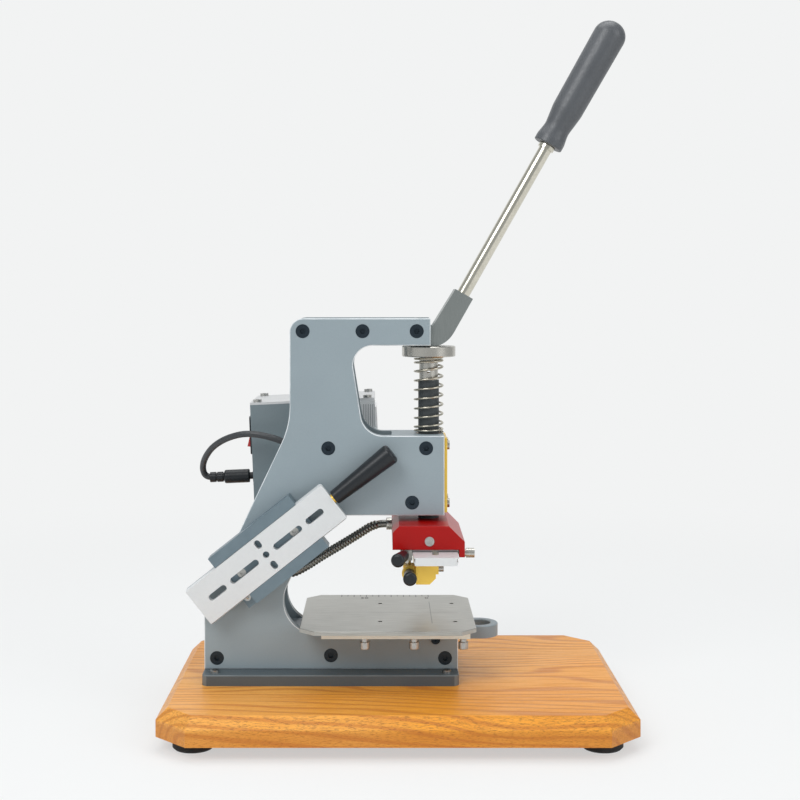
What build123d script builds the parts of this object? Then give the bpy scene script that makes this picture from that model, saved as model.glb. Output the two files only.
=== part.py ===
from build123d import *
import os
from math import cos, pi, radians, sin, sqrt, tan

# Lever press for embossing leather belts: two side plates on a wooden board, a
# cam lever that drives a sprung, heated head down on to a sliding table, a
# control box behind the frame and a storage rail on its near side.
# Millimetres. X runs to the front of the machine, Y away from the side that
# carries the storage rail, Z up. The origin is under the middle of the board,
# on the surface that the machine stands on.

os.makedirs("parts", exist_ok=True)

# ---------------------------------------------------------------- clearances
slip = 0.05          # radial gap of a running or threaded fit
gap = 0.3            # gap between pieces that slide past each other
touch = 0.02         # gap of two faces that are drawn up tight

# ---------------------------------------------------------------- board, feet
foot_radius = 15.0
foot_height = 10.0
foot_inset_x = 25.8
foot_inset_y = 32.0
foot_edge = 1.5
foot_recess_radius = 5.0
foot_recess_depth = 4.0
board_length = 341.0
board_width = 240.0
board_thickness = 20.0
board_center_x = -2.1
board_bevel = 8.0
board_corner_cut = 24.0

# ---------------------------------------------------------------- frame
base_length = 191.4
base_width = 82.0
base_thickness = 8.0
base_corner_radius = 5.5
base_front = 44.0
plate_thickness = 8.0
plate_gap = 30.0
frame_height = 264.6
frame_edge = 0.6
rear_wall_height = 48.4
rear_lean = 25.5
column_inset = 64.6
column_blend = 65.0
frame_top_radius = 10.5
arm_setback = 10.4
arm_bottom = 116.2
arm_depth = 60.0
top_setback = 10.5
top_depth = 20.4
window_side_x = -27.0
window_lean = 9.0
window_low_radius = 17.0
window_high_radius = 15.0
beam_height = 26.4
throat_corner_x = -59.4
throat_high_radius = 13.0
throat_low_radius = 25.2
base_block_height = 20.7
base_block_inset = 1.0

# ---------------------------------------------------------------- screws
frame_head_radius = 5.25
frame_head_rim = 0.8
frame_shank_radius = 3.0
frame_thread_depth = 9.0
frame_thread_depth_short = 4.4
thread_end_room = 0.4
frame_socket = 2.3
frame_socket_depth = 2.4
fixing_head_radius = 3.4
fixing_head_height = 2.0
fixing_shank_radius = 1.9
fixing_thread_depth = 6.0
fixing_socket = 1.45
fixing_socket_depth = 1.2
base_screw_inset_x = 9.0
base_screw_inset_y = 9.0
board_screw_depth = 12.0
top_screw_drop = 9.6
tie_rear_inset = 9.8
tie_middle_inset = 54.8
tie_low_inset = 29.0
arm_screw_drop = 9.3
block_high_setback = 13.8
block_low_setback = 24.3
block_low_rise = 9.7
low_screw_rise = 8.3
base_tie_rear_inset = 9.5
base_tie_middle_inset = 95.5
base_tie_middle_rise = 2.0
base_tie_front_inset = 9.8
stop_screw_setback = 17.0
stop_screw_drop = 3.9
spacer_radius = 7.0

# ---------------------------------------------------------------- press
press_setback = 11.2
sleeve_radius = 8.0
core_radius = 6.0
shoulder_radius = 7.25
shoulder_length = 18.0
shaft_thread_radius = 5.0
bush_wall = 1.5
shaft_hole_radius = 1.5
bush_length = 16.0
block_rear_length = 28.4
cover_thickness = 2.3
cover_width = 40.0
cover_short = 1.8
cover_screw_y = 12.0
cover_screw_inset = 8.0
wheel_radius = 20.5
wheel_thickness = 8.0
wheel_edge = 0.6
wire_radius = 0.8
spring_radius = 11.5
spring_end_pitch = 2.35
spring_turns = 10.0

# ---------------------------------------------------------------- lever
pivot_setback = 10.4
pivot_radius = 5.0
boss_radius = 9.4
lever_lean = 29.5
cam_base = 11.9
cam_rise = 13.0
arm_end = 42.1
arm_width = 15.2
rod_radius = 5.0
rod_sunk = 14.0
rod_in_grip = 86.0
ferrule_radius = 6.4
ferrule_length = 3.2
grip_start = 172.8
grip_length = 106.8
grip_foot_radius = 11.45
grip_waist_radius = 9.8
grip_body_radius = 11.9
grip_end_radius = 12.7
grip_end_round = 12.0
grip_foot_length = 5.0
grip_waist_at = 14.0
grip_body_at = 30.0

# ---------------------------------------------------------------- heated head
head_drop = 4.8
hood_rear = 28.0
hood_front = 25.5
hood_half_width = 43.0
hood_height = 17.6
hood_lip = 5.5
hood_lip_thickness = 4.2
hood_rear_chamfer = 5.0
hood_front_chamfer = 11.7
hood_wall = 3.0
insulation_thickness = 3.2
heater_side_gap = 1.0
heater_rear_step = 8.2
heater_length = 78.0
cartridge_radius = 3.0
cartridge_length = 62.0
cartridge_spacing = 18.0
rail_width = 8.6
rail_height = 8.0
rail_length = 80.0
tongue = 1.4
tongue_height = 1.8
head_screw_setback = 4.8
head_screw_rise = 6.4
housing_screw_radius = 3.5
housing_screw_height = 0.8
housing_screw_shank = 2.0
housing_screw_depth = 8.0
housing_socket = 1.8
housing_socket_depth = 0.6
insulation_width = 30.0
insulation_setback = 3.0
die_drop = 1.7
groove_drop = 2.1

# ---------------------------------------------------------------- die plates
die_length = 128.7
die_width = 33.0
die_face_width = 30.6
die_thickness = 6.0
die_edge_height = 2.2
die_corner_radius = 2.5
die_rear = 13.0
slot_radius = 2.5
slot_inner = (10.0, 30.9)
slot_outer = (40.5, 51.3)
slot_cross = (8.6, 10.8)
slot_cross_radius = 2.3

# ---------------------------------------------------------------- type holder
holder_length = 104.0
holder_width = 14.6
holder_height = 16.0
holder_rear = 10.9
holder_chamfer = 4.5
holder_step = 2.0
holder_step_height = 8.5
type_slot_width = 7.0
type_slot_depth = 12.4
type_slot_end = 4.0
type_slot_inset = 1.6
ear_near = -42.0
ear_length = 12.0
ear_width = 9.2
ear_height = 10.0
collar_radius = 5.6
collar_length = 4.5
knob_radius = 5.2
knob_root_radius = 4.0
knob_length = 21.0
knob_stud_radius = 2.0
knob_stud_depth = 8.0
clamp_knob_swing = 14.0
clamp_knob_reach = 7.0
clamp_knob_drop = 3.2
type_knob_offset = 4.6
type_knob_level = 6.9
side_screw_head = 2.5
side_screw_shank = 1.4
side_screw_length = 4.0
side_screw_y = -44.0
side_screw_level = 10.5
lock_screw_head = 3.6
lock_screw_shank = 0.9
lock_screw_y = -33.0
lock_screw_length = 7.6

# ---------------------------------------------------------------- table
table_length = 130.0
table_width = 123.0
table_thickness = 3.0
table_front = 56.0
table_corner_cut = 11.0
underplate_length = 109.3
underplate_width = 106.0
underplate_thickness = 4.5
underplate_front = 51.4
slide_bar_thickness = 9.2
slide_bar_rear = -108.0
eye_x = 61.0
eye_radius = 9.0
table_hole_radius = 1.65
table_hole_spacing_x = 56.4
table_hole_spacing_y = 60.0
table_hole_x = 13.4
thumb_head_radius = 3.65
thumb_head_length = 5.4
thumb_neck_radius = 2.6
thumb_neck_length = 2.2
thumb_stud_radius = 1.5
thumb_inset = 11.5
thumb_x = (-26.1, 10.1, 46.4)

# ---------------------------------------------------------------- storage rail
rail_angle = 38.3
bracket_x = -98.7
bracket_z = 128.0
bracket_rear = 37.0
bracket_front = 39.3
bracket_width = 48.5
bracket_floor = 8.7
bracket_depth = 15.0
bracket_step = 8.0
bracket_screw_spacing = 50.0
bracket_head_sunk = 2.4
plunger_radius = 2.6
plunger_ball_radius = 1.1
plunger_ball_proud = 0.25
plunger_inset = 4.0
plunger_across = -17.2
plunger_depth = 6.0
handle_length = 55.0
handle_offset = 1.5
handle_stud_depth = 8.0
spare_offset = -1.0
handle_foot_radius = 5.6
handle_end_radius = 8.0
handle_gap = 1.4
handle_stud_radius = 2.4
handle_collar_radius = 3.6

# ---------------------------------------------------------------- control box
box_rear_x = -113.6
box_bottom_z = 153.0
box_tilt = 2.4
box_length = 97.8
box_depth = 76.0
box_height = 82.5
box_wall = 1.5
box_lid_thickness = 1.8
box_front_length = 17.0
box_post = 8.0
box_post_height = 12.0
box_screws = ((55.0, 20.0), (50.0, 68.0))
lid_screw_inset = 5.5
controller_size = 44.6
controller_depth = 58.0
bezel_size = 48.0
bezel_thickness = 1.2
controller_height = 50.0
button_radius = 2.0
button_travel = 0.8
button_proud = 1.2
button_spacing = 12.0
button_length = 3.2
button_drop = 14.0
display_width = 36.0
display_height = 16.0
display_rise = 7.0
display_depth = 0.4
inlet_width = 50.0
inlet_height = 30.0
inlet_flange = 2.3
inlet_depth = 20.0
inlet_level = 55.5
inlet_inset = 12.0
inlet_body_inset = 2.0
socket_hole_inset = 33.0
socket_hole_chamfer = 3.0
rocker_inset = 11.0
rocker_width = 12.0
rocker_height = 20.0
rocker_pivot_depth = 2.5
rocker_mid = 5.0
rocker_tip = 6.3
rocker_back = 5.0
rocker_tilt = 8.0
rocker_pin_radius = 1.0
rocker_pin_length = 1.0
socket_hole_width = 24.0
socket_hole_height = 17.0
socket_hole_depth = 15.0
dc_inset = 22.0
dc_level = 22.5
dc_flange_radius = 6.0
dc_flange = 1.8
dc_body_radius = 4.5
dc_body_length = 12.0
dc_tip_radius = 2.75
dc_tip_length = 9.0
plug_gap = 3.0
plug_radius = 5.4
plug_length = 20.2
plug_ring_radius = 4.1
plug_relief_radius = 3.2
plug_ring_length = 4.9
plug_ring_gap = 0.8
plug_recess = 3.3

# ---------------------------------------------------------------- cables
hose_radius = 3.65
hose_root_radius = 3.0
hose_bore = 2.2
hose_rib_pitch = 2.5
gland_radius = 4.8
gland_length = 4.4
gland_y = 30.0
gland_level = 7.4
clamp_front = -97.0
clamp_length = 14.0
clamp_bottom = 56.0
clamp_height = 20.0
clamp_port_level = 11.0
lead_radius = 2.5
lead_clear = 0.2
cord_bend = 0.45     # share of the shorter run that each bend takes

# hand-chosen bends of the two cords, from end to end
hose_bends = [
    (-19.0, 30.0, 139.2), (-31.0, 27.5, 131.8), (-46.0, 19.0, 124.0), (-60.0, 10.5, 117.3),
    (-72.0, 4.3, 110.3), (-84.0, 0.0, 105.0),
]
lead_bends = [
    (-104.0, 0.0, 125.0), (-96.5, 0.0, 143.5), (-84.0, 0.0, 161.5), (-74.0, 0.0, 179.0),
    (-73.5, 1.0, 194.5), (-83.0, 2.0, 204.5), (-98.0, 3.0, 210.5), (-117.0, 6.0, 213.6),
    (-133.0, 13.0, 209.5), (-146.0, 22.5, 201.5), (-153.5, 32.0, 191.5),
    (-156.4, 39.5, 183.5), (-155.9, 43.8, 176.9), (-152.3, 45.0, 173.9),
]

# ---------------------------------------------------------------- levels
board_top = foot_height + board_thickness
base_top = board_top + base_thickness
frame_top = base_top + frame_height
arm_low = base_top + arm_bottom
arm_high = arm_low + arm_depth
top_low = frame_top - top_depth
beam_top = base_top + beam_height
inner_y = plate_gap / 2
outer_y = inner_y + plate_thickness

# ---------------------------------------------------------------- stations in X
base_rear = base_front - base_length
column_rear = base_rear + column_inset
arm_front = base_front - arm_setback
top_front = arm_front - top_setback
press_x = arm_front - press_setback
pivot_x = top_front - pivot_setback
pivot_z = frame_top - top_screw_drop


# ================================================================ helpers
def side_plane(y):
    """Plane square to Y at height y, with its X along X and its Y along Z."""
    return Plane.XZ.offset(-y)


def countersunk(plane, places, depth, grow=0.0, mode=Mode.ADD):
    """Countersunk frame screws with their heads flush with the plane."""
    head = frame_head_radius + grow
    shank = frame_shank_radius + grow
    cone = frame_head_radius - frame_shank_radius
    with BuildSketch(plane) as rims:
        with Locations(*places):
            Circle(head)
    extrude(rims.sketch, amount=-frame_head_rim, mode=mode)
    with BuildSketch(plane.offset(-frame_head_rim)) as cones:
        with Locations(*places):
            Circle(head)
    extrude(cones.sketch, amount=-cone, taper=45, mode=mode)
    with BuildSketch(plane) as shanks:
        with Locations(*places):
            Circle(shank)
    extrude(shanks.sketch, amount=-depth, mode=mode)


def hex_sockets(plane, places, size, depth):
    """Hexagon sockets cut into the screw heads of the open part."""
    with BuildSketch(plane) as sockets:
        with Locations(*places):
            RegularPolygon(size, 6)
    extrude(sockets.sketch, amount=-depth, mode=Mode.SUBTRACT)


def fixing_screws_on(plane, places, depth):
    """Small cap screws that stand on the plane."""
    with BuildSketch(plane.offset(-depth)) as shanks:
        with Locations(*places):
            Circle(fixing_shank_radius)
    extrude(shanks.sketch, amount=depth)
    with BuildSketch(plane) as heads:
        with Locations(*places):
            Circle(fixing_head_radius)
    extrude(heads.sketch, amount=fixing_head_height)
    hex_sockets(plane.offset(fixing_head_height), places, fixing_socket, fixing_socket_depth)


def fixing_holes(plane, places, depth, clear=slip):
    """Holes for the small cap screws."""
    with BuildSketch(plane) as holes:
        with Locations(*places):
            Circle(fixing_shank_radius + clear)
    extrude(holes.sketch, amount=-depth, mode=Mode.SUBTRACT)


def turned(plane, profile, rounding=0.0):
    """Turn a closed outline of (along, radius) points round the plane's X axis."""
    with BuildSketch(plane) as outline:
        with BuildLine():
            FilletPolyline(*profile, radius=rounding, close=True)
        make_face()
    revolve(outline.sketch, axis=Axis(plane.origin, plane.x_dir))


def save(builder, name):
    """Label one finished piece and write it."""
    builder.part.label = name
    export_step(builder.part, f"parts/{name}.step")


# ================================================================ board and feet
base_center_x = (base_front + base_rear) / 2
base_screw_y = base_width / 2 - base_screw_inset_y
base_screw_places = [
    (x, y)
    for x in (base_rear + base_screw_inset_x, base_front - base_screw_inset_x)
    for y in (-base_screw_y, base_screw_y)
]

with BuildPart() as base_board:
    with BuildSketch(Plane.XY.offset(foot_height)):
        with Locations((board_center_x, 0)):
            Rectangle(board_length, board_width)
        chamfer(vertices(), length=board_corner_cut)
    extrude(amount=board_thickness)
    chamfer(faces().sort_by(Axis.Z)[-1].edges(), length=board_bevel)
    fixing_holes(Plane.XY.offset(board_top), base_screw_places, board_screw_depth + gap)
save(base_board, "base_board")

foot_spacing_x = board_length - 2 * foot_inset_x
foot_spacing_y = board_width - 2 * foot_inset_y
with BuildPart() as rubber_feet:
    with BuildSketch(Plane.XY):
        with Locations((board_center_x, 0)):
            with GridLocations(foot_spacing_x, foot_spacing_y, 2, 2):
                Circle(foot_radius)
    extrude(amount=foot_height)
    chamfer(edges().group_by(Axis.Z)[0], length=foot_edge)
    with BuildSketch(Plane.XY):
        with Locations((board_center_x, 0)):
            with GridLocations(foot_spacing_x, foot_spacing_y, 2, 2):
                Circle(foot_recess_radius)
    extrude(amount=foot_recess_depth, mode=Mode.SUBTRACT)
save(rubber_feet, "rubber_feet")

# ================================================================ frame
with BuildPart() as base_plate:
    with BuildSketch(Plane.XY.offset(board_top)):
        with Locations((base_center_x, 0)):
            RectangleRounded(base_length, base_width, base_corner_radius)
    extrude(amount=base_thickness)
    chamfer(faces().sort_by(Axis.Z)[-1].edges(), length=frame_edge)
    fixing_holes(Plane.XY.offset(base_top), base_screw_places, base_thickness)
save(base_plate, "base_plate")

# screw places on the side plates, as (X, Z)
top_screw_z = frame_top - top_screw_drop
low_screw_z = base_top + low_screw_rise
tie_places = [
    (column_rear + tie_rear_inset, top_screw_z),
    (column_rear + tie_middle_inset, top_screw_z),
    (column_rear + tie_low_inset, arm_high - arm_screw_drop),
]
block_places = [
    (arm_front - block_high_setback, arm_high - arm_screw_drop),
    (arm_front - block_low_setback, arm_low + block_low_rise),
]
base_places = [
    (base_rear + base_tie_rear_inset, low_screw_z),
    (base_rear + base_tie_middle_inset, low_screw_z + base_tie_middle_rise),
    (base_front - base_tie_front_inset, low_screw_z),
]
pivot_places = [(pivot_x, pivot_z)]
frame_places = tie_places + block_places + base_places + pivot_places
long_places = tie_places + base_places + pivot_places

near_face = side_plane(-outer_y)
far_face = side_plane(outer_y)
lean = tan(radians(rear_lean))
column_corner_z = base_top + rear_wall_height + column_inset / lean
throat_corner_drop = (arm_low - beam_top) * lean


def side_plate_outline():
    """Outline of a side plate: beam, leaning column, lower arm and upper arm."""
    window_top_x = window_side_x - (top_low - arm_high) * tan(radians(window_lean))
    FilletPolyline(
        (base_rear, base_top),
        (base_rear, base_top + rear_wall_height),
        (column_rear, column_corner_z),
        (column_rear, frame_top),
        (top_front, frame_top),
        (top_front, top_low),
        (window_top_x, top_low),
        (window_side_x, arm_high),
        (arm_front, arm_high),
        (arm_front, arm_low),
        (throat_corner_x, arm_low),
        (throat_corner_x - throat_corner_drop, beam_top),
        (base_front, beam_top),
        (base_front, base_top),
        radius=[
            0, 0, column_blend, frame_top_radius, 0, 0, window_high_radius,
            window_low_radius, 0, 0, throat_high_radius, throat_low_radius, 0, 0,
        ],
        close=True,
    )


# the storage rail's own plane: origin on the near plate, X up along the rail
rail_dir = (cos(radians(rail_angle)), 0, sin(radians(rail_angle)))
rail_plane = Plane(origin=(bracket_x, -outer_y, bracket_z), x_dir=rail_dir, z_dir=(0, -1, 0))
bracket_places = [(-bracket_screw_spacing / 2, 0), (bracket_screw_spacing / 2, 0)]
slide_bar_bottom = base_top + base_block_height + gap

# the control box's own plane: origin at its rear bottom corner, X along it, Z up it
box_x = Vector(cos(radians(box_tilt)), 0, sin(radians(box_tilt)))
box_up = Vector(-sin(radians(box_tilt)), 0, cos(radians(box_tilt)))
box_plane = Plane(
    origin=(box_rear_x, outer_y + touch, box_bottom_z), x_dir=box_x, z_dir=box_up
)
box_screw_points = [box_plane.from_local_coords((x, 0, z)) for x, z in box_screws]
stop_screw_places = [(base_front - stop_screw_setback, beam_top - stop_screw_drop)]

with BuildPart() as near_side_plate:
    with BuildSketch(near_face):
        with BuildLine():
            side_plate_outline()
        make_face()
    extrude(amount=-plate_thickness)
    chamfer(faces().sort_by(Axis.Y)[0].outer_wire().edges(), length=frame_edge)
    countersunk(near_face, frame_places, plate_thickness, grow=slip, mode=Mode.SUBTRACT)
    fixing_holes(rail_plane, bracket_places, fixing_thread_depth)
    fixing_holes(near_face, stop_screw_places, plate_thickness)
save(near_side_plate, "near_side_plate")

with BuildPart() as far_side_plate:
    with BuildSketch(near_face):
        with BuildLine():
            side_plate_outline()
        make_face()
    extrude(amount=-plate_thickness)
    chamfer(faces().sort_by(Axis.Y)[0].outer_wire().edges(), length=frame_edge)
    countersunk(near_face, frame_places, plate_thickness, grow=slip, mode=Mode.SUBTRACT)
    mirror(about=Plane.XZ, mode=Mode.REPLACE)
    with BuildSketch(far_face):
        with Locations(*[(point.X, point.Z) for point in box_screw_points]):
            Circle(fixing_shank_radius + slip)
    extrude(amount=fixing_thread_depth, mode=Mode.SUBTRACT)
save(far_side_plate, "far_side_plate")

with BuildPart() as frame_screws:
    countersunk(near_face, long_places, plate_thickness + frame_thread_depth)
    countersunk(near_face, block_places, plate_thickness + frame_thread_depth_short)
    hex_sockets(near_face, frame_places, frame_socket, frame_socket_depth)
    mirror(about=Plane.XZ)
save(frame_screws, "frame_screws")

with BuildPart() as frame_spacers:
    with BuildSketch(side_plane(-inner_y)):
        with Locations(*tie_places):
            Circle(spacer_radius)
            Circle(frame_shank_radius + slip, mode=Mode.SUBTRACT)
    extrude(amount=-plate_gap)
save(frame_spacers, "frame_spacers")

with BuildPart() as base_block:
    with BuildSketch(Plane.XY.offset(base_top)):
        with Locations((base_center_x, 0)):
            Rectangle(base_length - 2 * base_block_inset, plate_gap - 2 * touch)
    extrude(amount=base_block_height)
    for face_side in (-1, 1):
        with BuildSketch(side_plane(face_side * inner_y)):
            with Locations(*base_places):
                Circle(frame_shank_radius + slip)
        extrude(amount=face_side * (frame_thread_depth + 1), mode=Mode.SUBTRACT)
save(base_block, "base_block")

# ================================================================ guide block
bush_radius = sleeve_radius + slip + bush_wall
press_plane = Plane.XY.offset(arm_low)
block_length = block_rear_length + press_setback
with BuildPart() as guide_block:
    with BuildSketch(press_plane):
        with Locations((arm_front - block_length / 2, 0)):
            Rectangle(block_length, plate_gap - 2 * touch)
        with Locations((press_x, 0)):
            Circle(bush_radius + touch, mode=Mode.SUBTRACT)
    extrude(amount=arm_depth)
    for face_side in (-1, 1):
        with BuildSketch(side_plane(face_side * inner_y)):
            with Locations(*block_places):
                Circle(frame_shank_radius + slip)
        extrude(amount=face_side * (frame_thread_depth_short + thread_end_room), mode=Mode.SUBTRACT)
    with BuildSketch(Plane.YZ.offset(arm_front)):
        with Locations((0, arm_low + arm_depth / 2)):
            with GridLocations(2 * cover_screw_y, arm_depth - 2 * cover_screw_inset, 2, 2):
                Circle(fixing_shank_radius + slip)
    extrude(amount=-fixing_thread_depth, mode=Mode.SUBTRACT)
save(guide_block, "guide_block")

with BuildPart() as guide_bushes:
    for bottom in (arm_low, arm_high - bush_length):
        with BuildSketch(Plane.XY.offset(bottom)):
            with Locations((press_x, 0)):
                Circle(bush_radius)
                Circle(sleeve_radius + slip, mode=Mode.SUBTRACT)
        extrude(amount=bush_length)
save(guide_bushes, "guide_bushes")

cover_places = [
    (y, z)
    for y in (-cover_screw_y, cover_screw_y)
    for z in (arm_low + cover_screw_inset, arm_high - cover_screw_inset)
]
cover_front = Plane.YZ.offset(arm_front + cover_thickness)
with BuildPart() as front_cover_plate:
    with BuildSketch(Plane.YZ.offset(arm_front)):
        with Locations((0, arm_low + arm_depth / 2)):
            Rectangle(cover_width, arm_depth - 2 * cover_short)
    extrude(amount=cover_thickness)
    chamfer(faces().sort_by(Axis.X)[-1].edges(), length=0.4)
    fixing_holes(cover_front, cover_places, cover_thickness)
save(front_cover_plate, "front_cover_plate")

# ================================================================ pressing shaft
wheel_top = pivot_z - cam_base
wheel_bottom = wheel_top - wheel_thickness
shoulder_bottom = wheel_bottom - shoulder_length
hood_top = arm_low - head_drop
hood_bottom = hood_top - hood_height
hood_ceiling = hood_top - hood_wall
press_axis = Plane(origin=(press_x, 0, 0), x_dir=(0, 0, 1), z_dir=(0, 1, 0))

with BuildPart() as press_shaft:
    turned(press_axis, [
        (hood_ceiling, 0), (hood_ceiling, core_radius),
        (shoulder_bottom, core_radius), (shoulder_bottom, shoulder_radius),
        (wheel_bottom - touch, shoulder_radius), (wheel_bottom - touch, shaft_thread_radius),
        (wheel_top - 0.5, shaft_thread_radius), (wheel_top - 0.5, 0),
    ])
    with BuildSketch(side_plane(-shoulder_radius)):
        with Locations((press_x, shoulder_bottom + shoulder_length / 3)):
            Circle(shaft_hole_radius)
    extrude(amount=-2 * shoulder_radius, mode=Mode.SUBTRACT)
save(press_shaft, "press_shaft")

with BuildPart() as shaft_sleeve:
    turned(press_axis, [
        (hood_top + touch, core_radius + touch), (hood_top + touch, sleeve_radius),
        (shoulder_bottom - touch, sleeve_radius),
        (shoulder_bottom - touch, core_radius + touch),
    ])
save(shaft_sleeve, "shaft_sleeve")

with BuildPart() as pressure_wheel:
    turned(press_axis, [
        (wheel_bottom, shaft_thread_radius + slip), (wheel_bottom, wheel_radius),
        (wheel_top, wheel_radius), (wheel_top, shaft_thread_radius + slip),
    ])
    rims = edges().filter_by(GeomType.CIRCLE).group_by(SortBy.RADIUS)[-1]
    chamfer(rims, length=wheel_edge)
save(pressure_wheel, "pressure_wheel")


# ================================================================ spring
spring_bottom = arm_high + touch + wire_radius
spring_rise = wheel_bottom - arm_high - 2 * (touch + wire_radius)
coil_radius = spring_radius - wire_radius
open_turns = spring_turns - 3
spring_pitch = spring_end_pitch + (spring_rise - spring_end_pitch * spring_turns) / open_turns


def ramp_area(t):
    """Area under the smooth step 3t^2 - 2t^3 from 0 to t."""
    return t**3 - t**4 / 2


def spring_point(turn):
    """Middle of the spring's wire after so many turns: closed ends, open middle."""
    from_end = spring_turns - turn
    if turn <= 1:
        opened = 0.0
    elif turn <= 2:
        opened = ramp_area(turn - 1)
    elif from_end >= 2:
        opened = turn - 1.5
    elif from_end >= 1:
        opened = open_turns - ramp_area(from_end - 1)
    else:
        opened = open_turns
    height = spring_end_pitch * turn + (spring_pitch - spring_end_pitch) * opened
    angle = 2 * pi * turn
    return Vector(
        press_x + coil_radius * cos(angle), coil_radius * sin(angle), spring_bottom + height
    )


def spring_tangent(turn):
    """Direction of the wire after so many turns."""
    step = 0.001
    before = max(turn - step, 0)
    after = min(turn + step, spring_turns)
    return (spring_point(after) - spring_point(before)).normalized()


def biarc_joint(start, start_dir, end, end_dir):
    """Point where two equal-armed arcs from start to end meet, and their shared direction."""
    span = end - start
    both = start_dir + end_dir
    a = 2 * (start_dir.dot(end_dir) - 1)
    b = -2 * span.dot(both)
    c = span.dot(span)
    arm = (-b - sqrt(b * b - 4 * a * c)) / (2 * a)
    near_arm = start + start_dir * arm
    far_arm = end - end_dir * arm
    return (near_arm + far_arm) / 2, (far_arm - near_arm).normalized()


with BuildPart() as press_spring:
    with BuildLine() as spring_path:
        for quarter in range(int(4 * spring_turns)):
            start_turn = quarter / 4
            end_turn = (quarter + 1) / 4
            start_dir = spring_tangent(start_turn)
            joint, joint_dir = biarc_joint(
                spring_point(start_turn), start_dir,
                spring_point(end_turn), spring_tangent(end_turn),
            )
            TangentArc(spring_point(start_turn), joint, tangent=start_dir)
            TangentArc(joint, spring_point(end_turn), tangent=joint_dir)
    with BuildSketch(Plane(origin=spring_point(0), z_dir=spring_tangent(0))):
        Circle(wire_radius)
    sweep(path=spring_path.wires()[0])
save(press_spring, "press_spring")

spring_samples = [spring_point(i / 24) for i in range(int(24 * spring_turns) + 1)]
spring_least = min(
    (spring_samples[j] - spring_samples[i]).length
    for i in range(len(spring_samples))
    for j in range(i + 12, min(i + 40, len(spring_samples)))
)
print("spring: least gap to itself", round(spring_least - 2 * wire_radius, 2), "mm")

# ================================================================ lever
lean_sin = sin(radians(lever_lean))
lean_cos = cos(radians(lever_lean))
cam_sweep = radians(90 - lever_lean)
cam_foot = cam_base - gap
flank_offset = cam_foot + cam_rise * cam_sweep
rod_offset = flank_offset - arm_width / 2
lever_width = plate_gap - 2 * gap


def cam_point(angle):
    """Cam outline about the pivot: its reach below the pivot grows evenly with the turn."""
    reach = cam_foot + cam_rise * angle
    return (
        reach * sin(angle) + cam_rise * cos(angle),
        cam_rise * sin(angle) - reach * cos(angle),
    )


def lever_point(along, across):
    """Point of the lever about the pivot, along its rod and across to its cam side."""
    return (
        along * lean_sin + across * lean_cos,
        along * lean_cos - across * lean_sin,
    )


lever_face = Plane(
    origin=(pivot_x, -lever_width / 2, pivot_z), x_dir=(1, 0, 0), z_dir=(0, -1, 0)
)
rod_foot = lever_point(0, rod_offset)
rod_axis = Plane(
    origin=(pivot_x + rod_foot[0], 0, pivot_z + rod_foot[1]),
    x_dir=(lean_sin, 0, lean_cos),
    z_dir=(0, -1, 0),
)

with BuildPart() as lever_arm:
    with BuildSketch(lever_face):
        with BuildLine():
            Spline(*[cam_point(cam_sweep * i / 6) for i in range(7)])
            Polyline(
                cam_point(cam_sweep),
                lever_point(arm_end, flank_offset),
                lever_point(arm_end, flank_offset - arm_width),
                lever_point(boss_radius, boss_radius - 0.5),
                (boss_radius / 2, boss_radius * 0.85),
                (-boss_radius / 2, 0),
                (-boss_radius / 2, -cam_foot),
                cam_point(0),
            )
        make_face()
        Circle(boss_radius)
        Circle(pivot_radius + slip, mode=Mode.SUBTRACT)
    extrude(amount=-lever_width)
    with BuildSketch(Plane(
        origin=rod_axis.from_local_coords((arm_end, 0, 0)),
        x_dir=(0, 1, 0), z_dir=rod_axis.x_dir,
    )):
        Circle(rod_radius + touch)
    extrude(amount=-rod_sunk, mode=Mode.SUBTRACT)
save(lever_arm, "lever_arm")

ferrule_end = grip_start - gap
with BuildPart() as lever_rod:
    turned(rod_axis, [
        (arm_end - rod_sunk + touch, 0), (arm_end - rod_sunk + touch, rod_radius),
        (ferrule_end - ferrule_length, rod_radius),
        (ferrule_end - ferrule_length, ferrule_radius),
        (ferrule_end, ferrule_radius), (ferrule_end, rod_radius),
        (grip_start + rod_in_grip, rod_radius), (grip_start + rod_in_grip, 0),
    ])
save(lever_rod, "lever_rod")

grip_end = grip_start + grip_length
bore_end = grip_start + rod_in_grip + touch
with BuildPart() as lever_grip:
    turned(
        rod_axis,
        [
            (grip_start, rod_radius + touch), (grip_start, grip_foot_radius),
            (grip_start + grip_foot_length, grip_foot_radius),
            (grip_start + grip_waist_at, grip_waist_radius),
            (grip_start + grip_body_at, grip_body_radius),
            (grip_end, grip_end_radius), (grip_end, 0),
            (bore_end, 0), (bore_end, rod_radius + touch),
        ],
        rounding=[0, 0.8, 10, 18, 40, grip_end_round, 0, 0, 0],
    )
save(lever_grip, "lever_grip")

pivot_axis = Plane(
    origin=(pivot_x, 0, pivot_z), x_dir=(0, 1, 0), z_dir=(1, 0, 0)
)
with BuildPart() as pivot_pin:
    pin_half = inner_y - touch
    tap_start = inner_y - frame_thread_depth - 0.5
    turned(pivot_axis, [
        (-pin_half, frame_shank_radius + slip), (-pin_half, pivot_radius),
        (pin_half, pivot_radius), (pin_half, frame_shank_radius + slip),
        (tap_start, frame_shank_radius + slip), (tap_start, 0),
        (-tap_start, 0), (-tap_start, frame_shank_radius + slip),
    ])
save(pivot_pin, "pivot_pin")

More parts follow.
